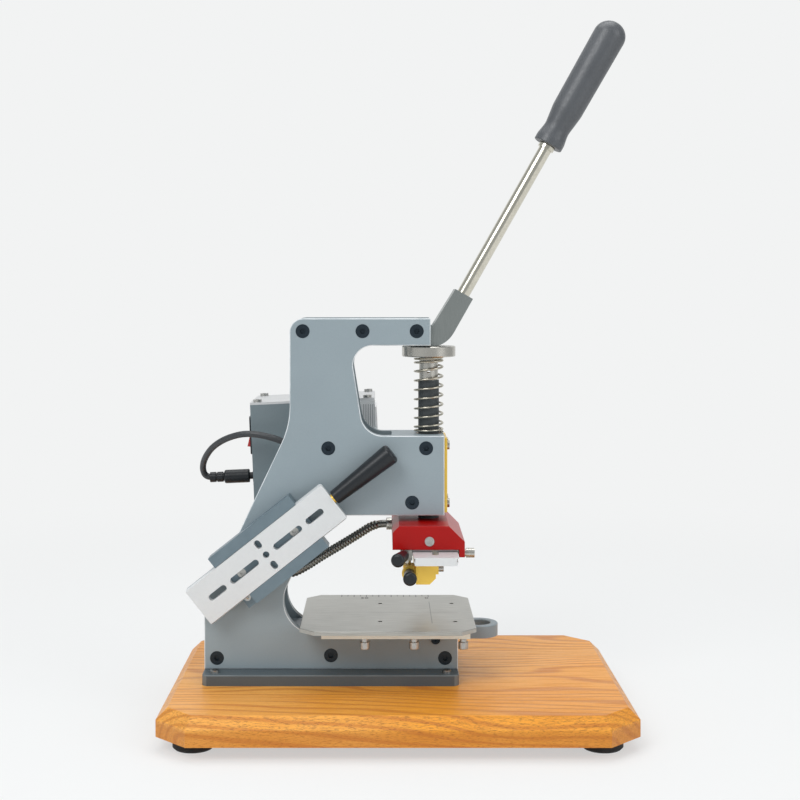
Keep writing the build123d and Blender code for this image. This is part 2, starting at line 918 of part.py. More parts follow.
# ================================================================ heated head
hood_rear_x = press_x - hood_rear
hood_front_x = press_x + hood_front
lip_bottom = hood_bottom - hood_lip
lip_back_x = hood_front_x - hood_lip_thickness
skew = sqrt(2) - 1
die_top = hood_bottom - die_drop
die_bottom = die_top - die_thickness
die_rear_x = press_x - die_rear
die_front_x = die_rear_x + die_width
groove_z = die_top - groove_drop
head_screw_place = [
    ((die_rear_x + lip_back_x) / 2 - head_screw_setback, hood_bottom + head_screw_rise)
]

with BuildPart() as head_housing:
    with BuildSketch(side_plane(-hood_half_width)):
        with BuildLine():
            Polyline(
                (hood_rear_x, hood_bottom),
                (hood_rear_x, hood_top - hood_rear_chamfer),
                (hood_rear_x + hood_rear_chamfer, hood_top),
                (hood_front_x - hood_front_chamfer, hood_top),
                (hood_front_x, hood_top - hood_front_chamfer),
                (hood_front_x, lip_bottom),
                (lip_back_x, lip_bottom),
                (lip_back_x, hood_bottom),
                close=True,
            )
        make_face()
    extrude(amount=-2 * hood_half_width)
    outer_edges = faces().sort_by(Axis.Y)[0].edges() + faces().sort_by(Axis.Y)[-1].edges()
    chamfer(outer_edges, length=0.5)
    with BuildSketch(side_plane(-(hood_half_width - hood_wall))):
        with BuildLine():
            Polyline(
                (hood_rear_x + hood_wall, lip_bottom - 1),
                (hood_rear_x + hood_wall,
                 hood_top - hood_rear_chamfer - hood_wall * skew),
                (hood_rear_x + hood_rear_chamfer + hood_wall * skew, hood_ceiling),
                (hood_front_x - hood_front_chamfer - hood_wall * skew, hood_ceiling),
                (lip_back_x,
                 hood_top - hood_front_chamfer - hood_wall * sqrt(2) + hood_lip_thickness),
                (lip_back_x, lip_bottom - 1),
                close=True,
            )
        make_face()
    extrude(amount=-2 * (hood_half_width - hood_wall), mode=Mode.SUBTRACT)
    with BuildSketch(Plane.XY.offset(hood_top)):
        with Locations((press_x, 0)):
            Circle(core_radius + touch)
    extrude(amount=-hood_wall, mode=Mode.SUBTRACT)
    with BuildSketch(side_plane(-hood_half_width)):
        with Locations(*head_screw_place):
            Circle(housing_screw_shank + slip)
    extrude(amount=-2 * hood_half_width, mode=Mode.SUBTRACT)
    with BuildSketch(Plane.YZ.offset(hood_front_x)):
        with Locations((lock_screw_y, groove_z)):
            Circle(lock_screw_shank + slip)
    extrude(amount=-hood_lip_thickness, mode=Mode.SUBTRACT)
    with BuildSketch(Plane.YZ.offset(hood_rear_x)):
        with Locations((gland_y, hood_bottom + gland_level)):
            Circle(hose_radius)
    extrude(amount=hood_wall, mode=Mode.SUBTRACT)
save(head_housing, "head_housing")

with BuildPart() as insulation_board:
    with BuildSketch(Plane.XY.offset(hood_ceiling - touch)):
        with Locations((press_x - insulation_setback, 0)):
            Rectangle(insulation_width, heater_length)
    extrude(amount=-insulation_thickness)
save(insulation_board, "insulation_board")

heater_top = hood_ceiling - insulation_thickness - 2 * touch
heater_bottom = die_top + gap
rail_top = hood_bottom - gap
heater_front_x = lip_back_x - heater_side_gap
heater_slope = (
    hood_front_x + hood_top - hood_front_chamfer - (hood_wall + heater_side_gap) * sqrt(2)
)
cartridge_x = head_screw_place[0][0]
cartridge_places = [
    (cartridge_x - cartridge_spacing / 2, (heater_top + heater_bottom) / 2),
    (cartridge_x + cartridge_spacing / 2, (heater_top + heater_bottom) / 2),
]
with BuildPart() as heater_block:
    with BuildSketch(side_plane(-heater_length / 2)):
        with BuildLine():
            Polyline(
                (die_rear_x - heater_rear_step, heater_top),
                (heater_slope - heater_top, heater_top),
                (heater_front_x, heater_slope - heater_front_x),
                (heater_front_x, heater_bottom),
                (die_rear_x, heater_bottom),
                (die_rear_x, rail_top),
                (die_rear_x - heater_rear_step, rail_top),
                close=True,
            )
        make_face()
    extrude(amount=-heater_length)
    with BuildSketch(side_plane(-heater_length / 2)):
        with Locations(*cartridge_places):
            Circle(cartridge_radius + slip)
    extrude(amount=-cartridge_length, mode=Mode.SUBTRACT)
    for face_side in (-1, 1):
        with BuildSketch(side_plane(face_side * heater_length / 2)):
            with Locations(*head_screw_place):
                Circle(housing_screw_shank + slip)
        extrude(amount=face_side * housing_screw_depth, mode=Mode.SUBTRACT)
save(heater_block, "heater_block")

with BuildPart() as heater_cartridges:
    with BuildSketch(side_plane(-heater_length / 2)):
        with Locations(*cartridge_places):
            Circle(cartridge_radius)
    extrude(amount=-cartridge_length + touch)
save(heater_cartridges, "heater_cartridges")

hood_near = side_plane(-hood_half_width)
with BuildPart() as housing_screws:
    with BuildSketch(hood_near):
        with Locations(*head_screw_place):
            Circle(housing_screw_shank)
    extrude(amount=-(hood_half_width - heater_length / 2 + housing_screw_depth - 0.5))
    with BuildSketch(hood_near):
        with Locations(*head_screw_place):
            Circle(housing_screw_radius)
    extrude(amount=housing_screw_height)
    hex_sockets(
        hood_near.offset(housing_screw_height), head_screw_place,
        housing_socket, housing_socket_depth,
    )
    mirror(about=Plane.XZ)
save(housing_screws, "housing_screws")

rail_front_x = die_rear_x - gap
clamp_out = (-sin(radians(clamp_knob_swing)), -cos(radians(clamp_knob_swing)), 0)
clamp_knob_plane = Plane(
    origin=(rail_front_x - rail_width / 2 - 0.5, -rail_length / 2, rail_top - clamp_knob_drop),
    x_dir=clamp_out,
    z_dir=(0, 0, 1),
)
with BuildPart() as clamp_rail:
    with BuildSketch(side_plane(-rail_length / 2)):
        with BuildLine():
            Polyline(
                (rail_front_x - rail_width, rail_top - touch),
                (rail_front_x, rail_top - touch),
                (rail_front_x, groove_z + tongue_height / 2),
                (rail_front_x + tongue, groove_z + tongue_height / 2),
                (rail_front_x + tongue, groove_z - tongue_height / 2),
                (rail_front_x, groove_z - tongue_height / 2),
                (rail_front_x, rail_top - rail_height),
                (rail_front_x - rail_width, rail_top - rail_height),
                close=True,
            )
        make_face()
    extrude(amount=-rail_length)
    with BuildSketch(Plane(origin=clamp_knob_plane.origin, z_dir=clamp_out)):
        Circle(knob_stud_radius + slip)
    extrude(amount=knob_stud_radius, mode=Mode.SUBTRACT)
    with BuildSketch(Plane(origin=clamp_knob_plane.origin, z_dir=clamp_out)):
        Circle(knob_stud_radius + slip)
    extrude(amount=-knob_stud_depth - gap, mode=Mode.SUBTRACT)
save(clamp_rail, "clamp_rail")

with BuildPart() as plate_clamp_stud:
    turned(clamp_knob_plane, [
        (-knob_stud_depth, 0), (-knob_stud_depth, knob_stud_radius),
        (clamp_knob_reach + knob_length / 2, knob_stud_radius),
        (clamp_knob_reach + knob_length / 2, 0),
    ])
save(plate_clamp_stud, "plate_clamp_stud")


def knob_outline(foot, bore_end, bore):
    """Outline of a tapered round knob that stands on its stud."""
    return [
        (foot, bore), (foot, knob_root_radius), (foot + knob_length, knob_radius),
        (foot + knob_length, 0), (bore_end, 0), (bore_end, bore),
    ]


with BuildPart() as plate_clamp_knob:
    turned(
        clamp_knob_plane,
        knob_outline(
            clamp_knob_reach,
            clamp_knob_reach + knob_length / 2 + touch,
            knob_stud_radius + touch,
        ),
        rounding=[0, 0.6, 2.4, 0, 0, 0],
    )
save(plate_clamp_knob, "plate_clamp_knob")

# ================================================================ die plates
groove_half = tongue_height / 2 + gap
groove_depth = tongue


def die_section():
    """Section of a die plate, as (across, down): wide back, grooved flanks, narrow face."""
    back = die_width / 2
    face = die_face_width / 2
    taper = (back - face) / (die_thickness - die_edge_height)
    groove_low = groove_drop + groove_half
    right = [
        (back, 0), (back, groove_drop - groove_half),
        (back - groove_depth, groove_drop - groove_half),
        (back - groove_depth, groove_low),
        (back - taper * (groove_low - die_edge_height), groove_low),
        (face, die_thickness),
    ]
    return right + [(-across, down) for across, down in reversed(right)]


def die_solid(plane):
    """A slotted die plate: the plane holds its back, with X along and Z out of its face."""
    ends = Plane(
        origin=plane.from_local_coords((-die_length / 2, 0, 0)),
        x_dir=plane.y_dir,
        z_dir=plane.x_dir,
    )
    with BuildSketch(ends) as section:
        with BuildLine():
            Polyline(*die_section(), close=True)
        make_face()
    extrude(section.sketch, amount=die_length)
    with BuildSketch(plane) as rounded:
        RectangleRounded(die_length, die_width, die_corner_radius)
    extrude(rounded.sketch, amount=die_thickness, mode=Mode.INTERSECT)
    with BuildSketch(plane) as slots:
        Circle(slot_radius)
        for side in (-1, 1):
            for inner, outer in (slot_inner, slot_outer):
                with Locations((side * (inner + outer) / 2, 0)):
                    SlotCenterToCenter(outer - inner, 2 * slot_radius)
            with Locations(Location((0, side * sum(slot_cross) / 2), 90)):
                SlotCenterToCenter(slot_cross[1] - slot_cross[0], 2 * slot_cross_radius)
    extrude(slots.sketch, amount=die_thickness, mode=Mode.SUBTRACT)
    stud_end = Plane(
        origin=plane.from_local_coords((die_length / 2, handle_offset, die_thickness / 2)),
        z_dir=plane.x_dir,
    )
    with BuildSketch(stud_end) as stud_hole:
        Circle(handle_stud_radius + touch)
    extrude(stud_hole.sketch, amount=-handle_stud_depth, mode=Mode.SUBTRACT)


with BuildPart() as die_plate:
    die_solid(Plane(
        origin=(die_rear_x + die_width / 2, 0, die_top), x_dir=(0, 1, 0), z_dir=(0, 0, -1)
    ))
save(die_plate, "die_plate")

with BuildPart() as die_lock_screw:
    turned(
        Plane(origin=(hood_front_x, lock_screw_y, groove_z), x_dir=(1, 0, 0), z_dir=(0, 0, 1)),
        [
            (die_front_x - groove_depth / 2 - hood_front_x, 0),
            (die_front_x - groove_depth / 2 - hood_front_x, lock_screw_shank),
            (touch, lock_screw_shank), (touch, lock_screw_head - 0.8),
            (1.4, lock_screw_head - 0.8), (1.4, lock_screw_head),
            (lock_screw_length, lock_screw_head), (lock_screw_length, 0),
        ],
    )
save(die_lock_screw, "die_lock_screw")

# ================================================================ type holder
holder_top = die_bottom - touch
holder_bottom = holder_top - holder_height
holder_rear_x = press_x - holder_rear
holder_front_x = holder_rear_x + holder_width
step_front_x = holder_front_x + holder_step
type_slot_x = holder_rear_x + type_slot_inset + type_slot_width / 2
type_knob_x = holder_rear_x - type_knob_offset
type_knob_z = holder_bottom + type_knob_level
side_screw_z = holder_bottom + side_screw_level

with BuildPart() as type_holder:
    with BuildSketch(side_plane(-holder_length / 2)):
        with BuildLine():
            Polyline(
                (holder_rear_x, holder_top),
                (holder_rear_x, holder_bottom),
                (holder_front_x - holder_chamfer, holder_bottom),
                (holder_front_x, holder_bottom + holder_chamfer),
                (holder_front_x, holder_top - holder_step_height),
                (step_front_x, holder_top - holder_step_height),
                (step_front_x, holder_top),
                close=True,
            )
        make_face()
    extrude(amount=-holder_length)
    with BuildSketch(Plane.XY.offset(holder_bottom)):
        with Locations((type_slot_x, 0)):
            Rectangle(type_slot_width, holder_length - 2 * type_slot_end)
    extrude(amount=type_slot_depth, mode=Mode.SUBTRACT)
    with BuildSketch(side_plane(ear_near)):
        with Locations((holder_rear_x - ear_width / 2, type_knob_z)):
            Rectangle(ear_width, ear_height)
    extrude(amount=-ear_length)
    with BuildSketch(side_plane(ear_near)):
        with Locations((type_knob_x, type_knob_z)):
            Circle(collar_radius)
    extrude(amount=collar_length)
    with BuildSketch(side_plane(ear_near - collar_length)):
        with Locations((type_knob_x, type_knob_z)):
            Circle(knob_stud_radius + slip)
    extrude(amount=-(collar_length + knob_stud_depth + gap), mode=Mode.SUBTRACT)
    with BuildSketch(Plane.YZ.offset(step_front_x)):
        with Locations((side_screw_y, side_screw_z)):
            Circle(side_screw_shank + slip)
    extrude(
        amount=-(step_front_x - type_slot_x - type_slot_width / 2 + gap), mode=Mode.SUBTRACT
    )
save(type_holder, "type_holder")

type_knob_plane = Plane(
    origin=(type_knob_x, ear_near - collar_length, type_knob_z), x_dir=(0, -1, 0), z_dir=(0, 0, 1)
)
with BuildPart() as type_clamp_knob:
    turned(
        type_knob_plane,
        [
            (-(collar_length + knob_stud_depth), 0),
            (-(collar_length + knob_stud_depth), knob_stud_radius),
            (gap, knob_stud_radius), (gap, knob_root_radius),
            (gap + knob_length, knob_radius), (gap + knob_length, 0),
        ],
        rounding=[0, 0.4, 0, 0.6, 2.4, 0],
    )
save(type_clamp_knob, "type_clamp_knob")

with BuildPart() as type_side_screw:
    turned(
        Plane(
            origin=(step_front_x, side_screw_y, side_screw_z), x_dir=(1, 0, 0), z_dir=(0, 0, 1)
        ),
        [
            (type_slot_x + type_slot_width / 2 + gap - step_front_x, 0),
            (type_slot_x + type_slot_width / 2 + gap - step_front_x, side_screw_shank),
            (touch, side_screw_shank), (touch, side_screw_head),
            (side_screw_length, side_screw_head), (side_screw_length, 0),
        ],
    )
save(type_side_screw, "type_side_screw")

# ================================================================ table
bar_top = slide_bar_bottom + slide_bar_thickness
underplate_top = bar_top + underplate_thickness
bar_half = inner_y - gap
underplate_x = underplate_front - underplate_length / 2
thumb_y = thumb_inset - table_width / 2
thumb_places = [(x, thumb_y) for x in thumb_x]

with BuildPart() as table_slide_bar:
    with BuildSketch(Plane.XY.offset(slide_bar_bottom)):
        with BuildLine():
            Polyline(
                (eye_x, -bar_half), (slide_bar_rear, -bar_half),
                (slide_bar_rear, bar_half), (eye_x, bar_half),
            )
            ThreePointArc((eye_x, bar_half), (eye_x + bar_half, 0), (eye_x, -bar_half))
        make_face()
        with Locations((eye_x, 0)):
            Circle(eye_radius, mode=Mode.SUBTRACT)
    extrude(amount=slide_bar_thickness)
    chamfer(faces().sort_by(Axis.Z)[-1].edges(), length=0.5)
save(table_slide_bar, "table_slide_bar")

with BuildPart() as table_underplate:
    with BuildSketch(Plane.XY.offset(bar_top)):
        with Locations((underplate_x, 0)):
            Rectangle(underplate_length, underplate_width)
        with Locations(*thumb_places):
            Circle(thumb_stud_radius + slip, mode=Mode.SUBTRACT)
        with Locations((table_hole_x, 0)):
            with GridLocations(table_hole_spacing_x, table_hole_spacing_y, 2, 2):
                Circle(table_hole_radius, mode=Mode.SUBTRACT)
    extrude(amount=underplate_thickness)
save(table_underplate, "table_underplate")

with BuildPart() as table_plate:
    with BuildSketch(Plane.XY.offset(underplate_top)):
        with Locations((table_front - table_length / 2, 0)):
            Rectangle(table_length, table_width)
        chamfer(vertices(), length=table_corner_cut)
        with Locations((table_hole_x, 0)):
            with GridLocations(table_hole_spacing_x, table_hole_spacing_y, 2, 2):
                Circle(table_hole_radius, mode=Mode.SUBTRACT)
    extrude(amount=table_thickness)
    chamfer(faces().sort_by(Axis.Z)[-1].outer_wire().edges(), length=0.4)
save(table_plate, "table_plate")

thumb_head_top = -gap - thumb_neck_length
for screw_x, screw_name in zip(thumb_x, ("rear", "middle", "front")):
    with BuildPart() as table_thumb_screw:
        turned(
            Plane(origin=(screw_x, thumb_y, bar_top), x_dir=(0, 0, 1), z_dir=(1, 0, 0)),
            [
                (thumb_head_top - thumb_head_length, 0),
                (thumb_head_top - thumb_head_length, thumb_head_radius),
                (thumb_head_top, thumb_head_radius), (thumb_head_top, thumb_neck_radius),
                (-gap, thumb_neck_radius), (-gap, thumb_stud_radius),
                (underplate_thickness - gap, thumb_stud_radius), (underplate_thickness - gap, 0),
            ],
            rounding=[0, 0.5, 0.5, 0, 0, 0, 0.3, 0],
        )
    save(table_thumb_screw, f"table_thumb_screw_{screw_name}")

# ================================================================ storage rail
spare_back = bracket_floor + gap
back_half = die_width / 2 + gap
face_half = die_face_width / 2 + gap
rear_step_u = -bracket_rear + bracket_step
rail_ends = Plane(
    origin=rail_plane.from_local_coords((-bracket_rear, 0, 0)),
    x_dir=rail_plane.y_dir,
    z_dir=rail_plane.x_dir,
)
with BuildPart() as storage_bracket:
    with BuildSketch(rail_ends):
        with BuildLine():
            Polyline(
                (-bracket_width / 2, 0), (bracket_width / 2, 0),
                (bracket_width / 2, bracket_depth), (face_half, bracket_depth),
                (back_half, spare_back + die_edge_height), (back_half, bracket_floor),
                (-back_half, bracket_floor), (-back_half, spare_back + die_edge_height),
                (-face_half, bracket_depth), (-bracket_width / 2, bracket_depth),
                close=True,
            )
        make_face()
    extrude(amount=bracket_rear + bracket_front)
    with BuildSketch(rail_plane.offset(bracket_floor)):
        with BuildLine():
            Polyline(
                (-bracket_rear, -bracket_width / 2), (rear_step_u, -bracket_width / 2),
                (rear_step_u, -face_half + gap), (-bracket_rear, -face_half + gap),
                close=True,
            )
        make_face()
    extrude(amount=bracket_depth - bracket_floor, mode=Mode.SUBTRACT)
    fixing_holes(rail_plane.offset(bracket_floor), bracket_places, bracket_floor)
    with BuildSketch(rail_plane.offset(bracket_floor)):
        with Locations(*bracket_places):
            Circle(fixing_head_radius + slip)
    extrude(amount=-bracket_head_sunk, mode=Mode.SUBTRACT)
    with BuildSketch(rail_plane.offset(bracket_floor)):
        with Locations((-bracket_rear + plunger_inset, plunger_across)):
            Circle(plunger_radius + touch)
    extrude(amount=-plunger_depth - touch, mode=Mode.SUBTRACT)
save(storage_bracket, "storage_bracket")

with BuildPart() as ball_plunger:
    turned(
        Plane(
            origin=rail_plane.from_local_coords(
                (-bracket_rear + plunger_inset, plunger_across, bracket_floor)
            ),
            x_dir=(0, -1, 0),
            z_dir=(0, 0, 1),
        ),
        [
            (-plunger_depth, 0), (-plunger_depth, plunger_radius), (0, plunger_radius),
            (0, plunger_ball_radius), (plunger_ball_proud, plunger_ball_radius / 2),
            (plunger_ball_proud, 0),
        ],
    )
save(ball_plunger, "ball_plunger")

spare_plane = Plane(
    origin=rail_plane.from_local_coords((spare_offset, 0, spare_back)),
    x_dir=rail_dir,
    z_dir=(0, -1, 0),
)
with BuildPart() as spare_plate:
    die_solid(spare_plane)
save(spare_plate, "spare_plate")

handle_axis = Plane(
    origin=spare_plane.from_local_coords((die_length / 2, handle_offset, die_thickness / 2)),
    x_dir=rail_dir,
    z_dir=(0, -1, 0),
)
handle_bore = 12.0
with BuildPart() as spare_handle_stud:
    turned(handle_axis, [
        (-handle_stud_depth + touch, 0), (-handle_stud_depth + touch, handle_stud_radius),
        (touch, handle_stud_radius), (touch, handle_collar_radius),
        (handle_gap - touch, handle_collar_radius), (handle_gap - touch, handle_stud_radius),
        (handle_gap + handle_bore, handle_stud_radius), (handle_gap + handle_bore, 0),
    ])
save(spare_handle_stud, "spare_handle_stud")

with BuildPart() as spare_handle:
    turned(
        handle_axis,
        [
            (handle_gap, handle_stud_radius + touch), (handle_gap, handle_foot_radius),
            (handle_gap + handle_length, handle_end_radius), (handle_gap + handle_length, 0),
            (handle_gap + handle_bore + touch, 0),
            (handle_gap + handle_bore + touch, handle_stud_radius + touch),
        ],
        rounding=[0, 0.8, 3.0, 0, 0, 0],
    )
save(spare_handle, "spare_handle")

# ================================================================ control box
body_length = box_length - box_front_length - touch
wall_height = box_height - box_lid_thickness - touch
box_rear = Plane(origin=box_plane.origin, x_dir=(0, -1, 0), z_dir=-box_x)
box_front = Plane(
    origin=box_plane.from_local_coords((box_length, 0, 0)), x_dir=(0, 1, 0), z_dir=box_x
)
box_lid_plane = box_plane.offset(box_height)
inlet_place = (-(inlet_inset + inlet_width / 2), inlet_level)
dc_place = (-dc_inset, dc_level)
rocker_place = (-(inlet_inset + rocker_inset), inlet_level)
controller_place = (box_depth / 2, controller_height)
lid_screw_places = [
    (x, y)
    for x in (lid_screw_inset, box_length - lid_screw_inset)
    for y in (lid_screw_inset, box_depth - lid_screw_inset)
]


def box_posts(start, end):
    """Corner posts that take the lid's screws, between two stations along the box."""
    with BuildSketch(box_plane.offset(wall_height - box_post_height)) as posts:
        for y in (box_wall, box_depth - box_wall - box_post):
            with Locations(((start + end) / 2, y + box_post / 2)):
                Rectangle(end - start, box_post)
    extrude(posts.sketch, amount=box_post_height)
    fixing_holes(box_plane.offset(wall_height), lid_screw_places, fixing_thread_depth)


with BuildPart() as control_box:
    with BuildSketch(box_plane):
        with Locations((body_length / 2, box_depth / 2)):
            Rectangle(body_length, box_depth)
    extrude(amount=wall_height)
    with BuildSketch(box_plane.offset(box_wall)):
        with Locations(((box_wall + box_length) / 2, box_depth / 2)):
            Rectangle(box_length - box_wall, box_depth - 2 * box_wall)
    extrude(amount=box_height, mode=Mode.SUBTRACT)
    box_posts(box_wall, box_wall + box_post)
    with BuildSketch(box_rear):
        with Locations(inlet_place):
            Rectangle(
                inlet_width - 2 * inlet_body_inset + 2 * touch,
                inlet_height - 2 * inlet_body_inset + 2 * touch,
            )
        with Locations(dc_place):
            Circle(dc_body_radius + touch)
    extrude(amount=-box_wall, mode=Mode.SUBTRACT)
    with BuildSketch(Plane(origin=box_plane.origin, x_dir=box_x, z_dir=(0, -1, 0))):
        with Locations(*box_screws):
            Circle(fixing_shank_radius + slip)
    extrude(amount=-box_wall, mode=Mode.SUBTRACT)
save(control_box, "control_box")

with BuildPart() as control_box_front:
    with BuildSketch(box_plane):
        with Locations((box_length - box_front_length / 2, box_depth / 2)):
            Rectangle(box_front_length, box_depth)
    extrude(amount=wall_height)
    with BuildSketch(box_plane.offset(box_wall)):
        with Locations((box_length - box_wall - box_front_length / 2, box_depth / 2)):
            Rectangle(box_front_length, box_depth - 2 * box_wall)
    extrude(amount=box_height, mode=Mode.SUBTRACT)
    box_posts(box_length - box_wall - box_post, box_length - box_wall)
    with BuildSketch(box_front):
        with Locations(controller_place):
            Rectangle(controller_size + 2 * slip, controller_size + 2 * slip)
    extrude(amount=-box_wall, mode=Mode.SUBTRACT)
save(control_box_front, "control_box_front")

with BuildPart() as control_box_lid:
    with BuildSketch(box_plane.offset(box_height - box_lid_thickness)):
        with Locations((box_length / 2, box_depth / 2)):
            Rectangle(box_length, box_depth)
    extrude(amount=box_lid_thickness)
    fixing_holes(box_lid_plane, lid_screw_places, box_lid_thickness)
save(control_box_lid, "control_box_lid")

# ---------------------------------------------------------------- controller
button_y = (box_depth / 2 - button_spacing, box_depth / 2, box_depth / 2 + button_spacing)
button_level = controller_height - button_drop
bezel_face = box_front.offset(touch + bezel_thickness)
with BuildPart() as temperature_controller:
    with BuildSketch(box_front.offset(touch)):
        with Locations(controller_place):
            Rectangle(bezel_size, bezel_size)
    extrude(amount=bezel_thickness)
    with BuildSketch(box_front.offset(touch)):
        with Locations(controller_place):
            Rectangle(controller_size, controller_size)
    extrude(amount=-controller_depth)
    with BuildSketch(bezel_face):
        with Locations((box_depth / 2, controller_height + display_rise)):
            Rectangle(display_width, display_height)
    extrude(amount=-display_depth, mode=Mode.SUBTRACT)
    with BuildSketch(bezel_face):
        with Locations(*[(y, button_level) for y in button_y]):
            Circle(button_radius + slip)
    extrude(amount=-(button_length - button_proud + button_travel + gap), mode=Mode.SUBTRACT)
save(temperature_controller, "temperature_controller")

for place_y, button_name in zip(button_y, ("set", "down", "up")):
    with BuildPart() as controller_button:
        with BuildSketch(bezel_face.offset(button_proud)):
            with Locations((place_y, button_level)):
                Circle(button_radius)
        extrude(amount=-button_length)
        chamfer(faces().sort_by(Axis.X)[-1].edges(), length=0.3)
    save(controller_button, f"button_{button_name}")

# ---------------------------------------------------------------- mains inlet
tilt_sin = sin(radians(rocker_tilt))
tilt_cos = cos(radians(rocker_tilt))
rocker_half = rocker_height / 2
rocker_opening = 2 * (rocker_half * tilt_cos + rocker_tip * tilt_sin + gap)
rocker_pocket = rocker_back + rocker_half * tilt_sin + gap
rocker_pivot = box_rear.from_local_coords((*rocker_place, -rocker_pivot_depth))
rocker_plane = Plane(
    origin=rocker_pivot, x_dir=-box_x * tilt_cos + box_up * tilt_sin, z_dir=(0, 1, 0)
)
rocker_pin_half = rocker_width / 2 + gap + rocker_pin_length
pin_plane = Plane(origin=rocker_pivot, x_dir=-box_x, z_dir=(0, 1, 0))

with BuildPart() as power_inlet:
    with BuildSketch(box_rear.offset(touch)):
        with Locations(inlet_place):
            RectangleRounded(inlet_width, inlet_height, 2)
    extrude(amount=inlet_flange)
    with BuildSketch(box_rear.offset(touch)):
        with Locations(inlet_place):
            Rectangle(inlet_width - 2 * inlet_body_inset, inlet_height - 2 * inlet_body_inset)
    extrude(amount=-inlet_depth)
    with BuildSketch(box_rear.offset(touch + inlet_flange)):
        with Locations((-(inlet_inset + socket_hole_inset), inlet_level)):
            Rectangle(socket_hole_width, socket_hole_height)
            chamfer(vertices().group_by(Axis.Y)[-1], length=socket_hole_chamfer)
    extrude(amount=-socket_hole_depth, mode=Mode.SUBTRACT)
    with BuildSketch(box_rear.offset(touch + inlet_flange)):
        with Locations(rocker_place):
            Rectangle(rocker_width + 2 * gap, rocker_opening)
    extrude(
        amount=-(touch + inlet_flange + rocker_pivot_depth + rocker_pocket), mode=Mode.SUBTRACT
    )
    with BuildSketch(pin_plane.offset(-rocker_pin_half - gap)):
        Circle(rocker_pin_radius + slip)
    extrude(amount=2 * (rocker_pin_half + gap), mode=Mode.SUBTRACT)
save(power_inlet, "power_inlet")

with BuildPart() as rocker_switch:
    with BuildSketch(rocker_plane.offset(-rocker_width / 2)):
        with BuildLine():
            Polyline(
                (rocker_tip, rocker_half), (rocker_mid, 0), (rocker_tip, -rocker_half),
                (0, -rocker_half), (-rocker_back, -rocker_back),
                (-rocker_back, rocker_back), (0, rocker_half),
                close=True,
            )
        make_face()
    extrude(amount=rocker_width)
    with BuildSketch(pin_plane.offset(-rocker_pin_half)):
        Circle(rocker_pin_radius)
    extrude(amount=2 * rocker_pin_half)
save(rocker_switch, "rocker_switch")

# ---------------------------------------------------------------- low-voltage socket, plug
dc_axis = Plane(
    origin=box_rear.from_local_coords((*dc_place, 0)), x_dir=-box_x, z_dir=(0, 1, 0)
)
dc_inserted = dc_tip_length - plug_gap
dc_face = touch + dc_flange
with BuildPart() as dc_socket:
    turned(dc_axis, [
        (dc_face, dc_tip_radius + slip), (dc_face, dc_flange_radius),
        (touch, dc_flange_radius), (touch, dc_body_radius),
        (dc_face - dc_body_length, dc_body_radius), (dc_face - dc_body_length, 0),
        (dc_face - dc_inserted - gap, 0),
        (dc_face - dc_inserted - gap, dc_tip_radius + slip),
    ])
save(dc_socket, "dc_socket")

plug_front = dc_face + plug_gap
ring_start = plug_front + plug_length + plug_ring_gap
ring_end = ring_start + plug_ring_length
last_ring = ring_end + plug_ring_gap
plug_back = last_ring + plug_ring_length
with BuildPart() as dc_plug:
    turned(
        dc_axis,
        [
            (dc_face - dc_inserted, 0), (dc_face - dc_inserted, dc_tip_radius),
            (plug_front, dc_tip_radius), (plug_front, plug_radius),
            (plug_front + plug_length, plug_radius),
            (plug_front + plug_length, plug_relief_radius),
            (ring_start, plug_relief_radius), (ring_start, plug_ring_radius),
            (ring_end, plug_ring_radius), (ring_end, plug_relief_radius),
            (last_ring, plug_relief_radius), (last_ring, plug_ring_radius),
            (plug_back, plug_ring_radius), (plug_back, lead_radius + lead_clear),
            (plug_back - plug_recess, lead_radius + lead_clear), (plug_back - plug_recess, 0),
        ],
        rounding=[0, 0.5, 0, 0.8, 1.6, 0, 0, 0.3, 0.3, 0, 0, 0.3, 0.3, 0, 0, 0],
    )
save(dc_plug, "dc_plug")

# ================================================================ cords
gland_face = hood_rear_x - gland_length
gland_z = hood_bottom + gland_level
clamp_middle = clamp_front - clamp_length / 2
clamp_port_z = base_top + clamp_bottom + clamp_port_level
clamp_top = base_top + clamp_bottom + clamp_height


def bend_radii(route):
    """Radius of each bend of a cord: it takes a set share of the shorter run beside it."""
    points = [Vector(point) for point in route]
    radii = []
    for before, here, after in zip(points, points[1:], points[2:]):
        turn = radians((here - before).get_angle(after - here))
        shorter = min((here - before).length, (after - here).length)
        radii.append(cord_bend * shorter / tan(turn / 2))
    return radii


with BuildPart() as hose_gland:
    turned(
        Plane(origin=(hood_rear_x, gland_y, gland_z), x_dir=(-1, 0, 0), z_dir=(0, 1, 0)),
        [
            (-hood_wall, hose_bore), (-hood_wall, hose_radius - touch),
            (touch, hose_radius - touch), (touch, gland_radius),
            (gland_length, gland_radius), (gland_length, hose_bore),
        ],
        rounding=[0, 0, 0, 0, 0.6, 0],
    )
save(hose_gland, "hose_gland")

with BuildPart() as cable_clamp:
    with BuildSketch(Plane.XY.offset(base_top + clamp_bottom)):
        with Locations((clamp_middle, 0)):
            Rectangle(clamp_length, plate_gap - 2 * touch)
    extrude(amount=clamp_height)
    with BuildSketch(Plane.YZ.offset(clamp_front)):
        with Locations((0, clamp_port_z)):
            Circle(hose_bore)
    extrude(amount=-clamp_length / 2, mode=Mode.SUBTRACT)
    with BuildSketch(Plane.XY.offset(clamp_port_z)):
        with Locations((clamp_middle, 0)):
            Circle(hose_bore)
    extrude(amount=clamp_height, mode=Mode.SUBTRACT)
save(cable_clamp, "cable_clamp")

hose_route = [(gland_face, gland_y, gland_z), *hose_bends, (clamp_front, 0, clamp_port_z)]
print("hose bend radii:", [round(r, 1) for r in bend_radii(hose_route)])


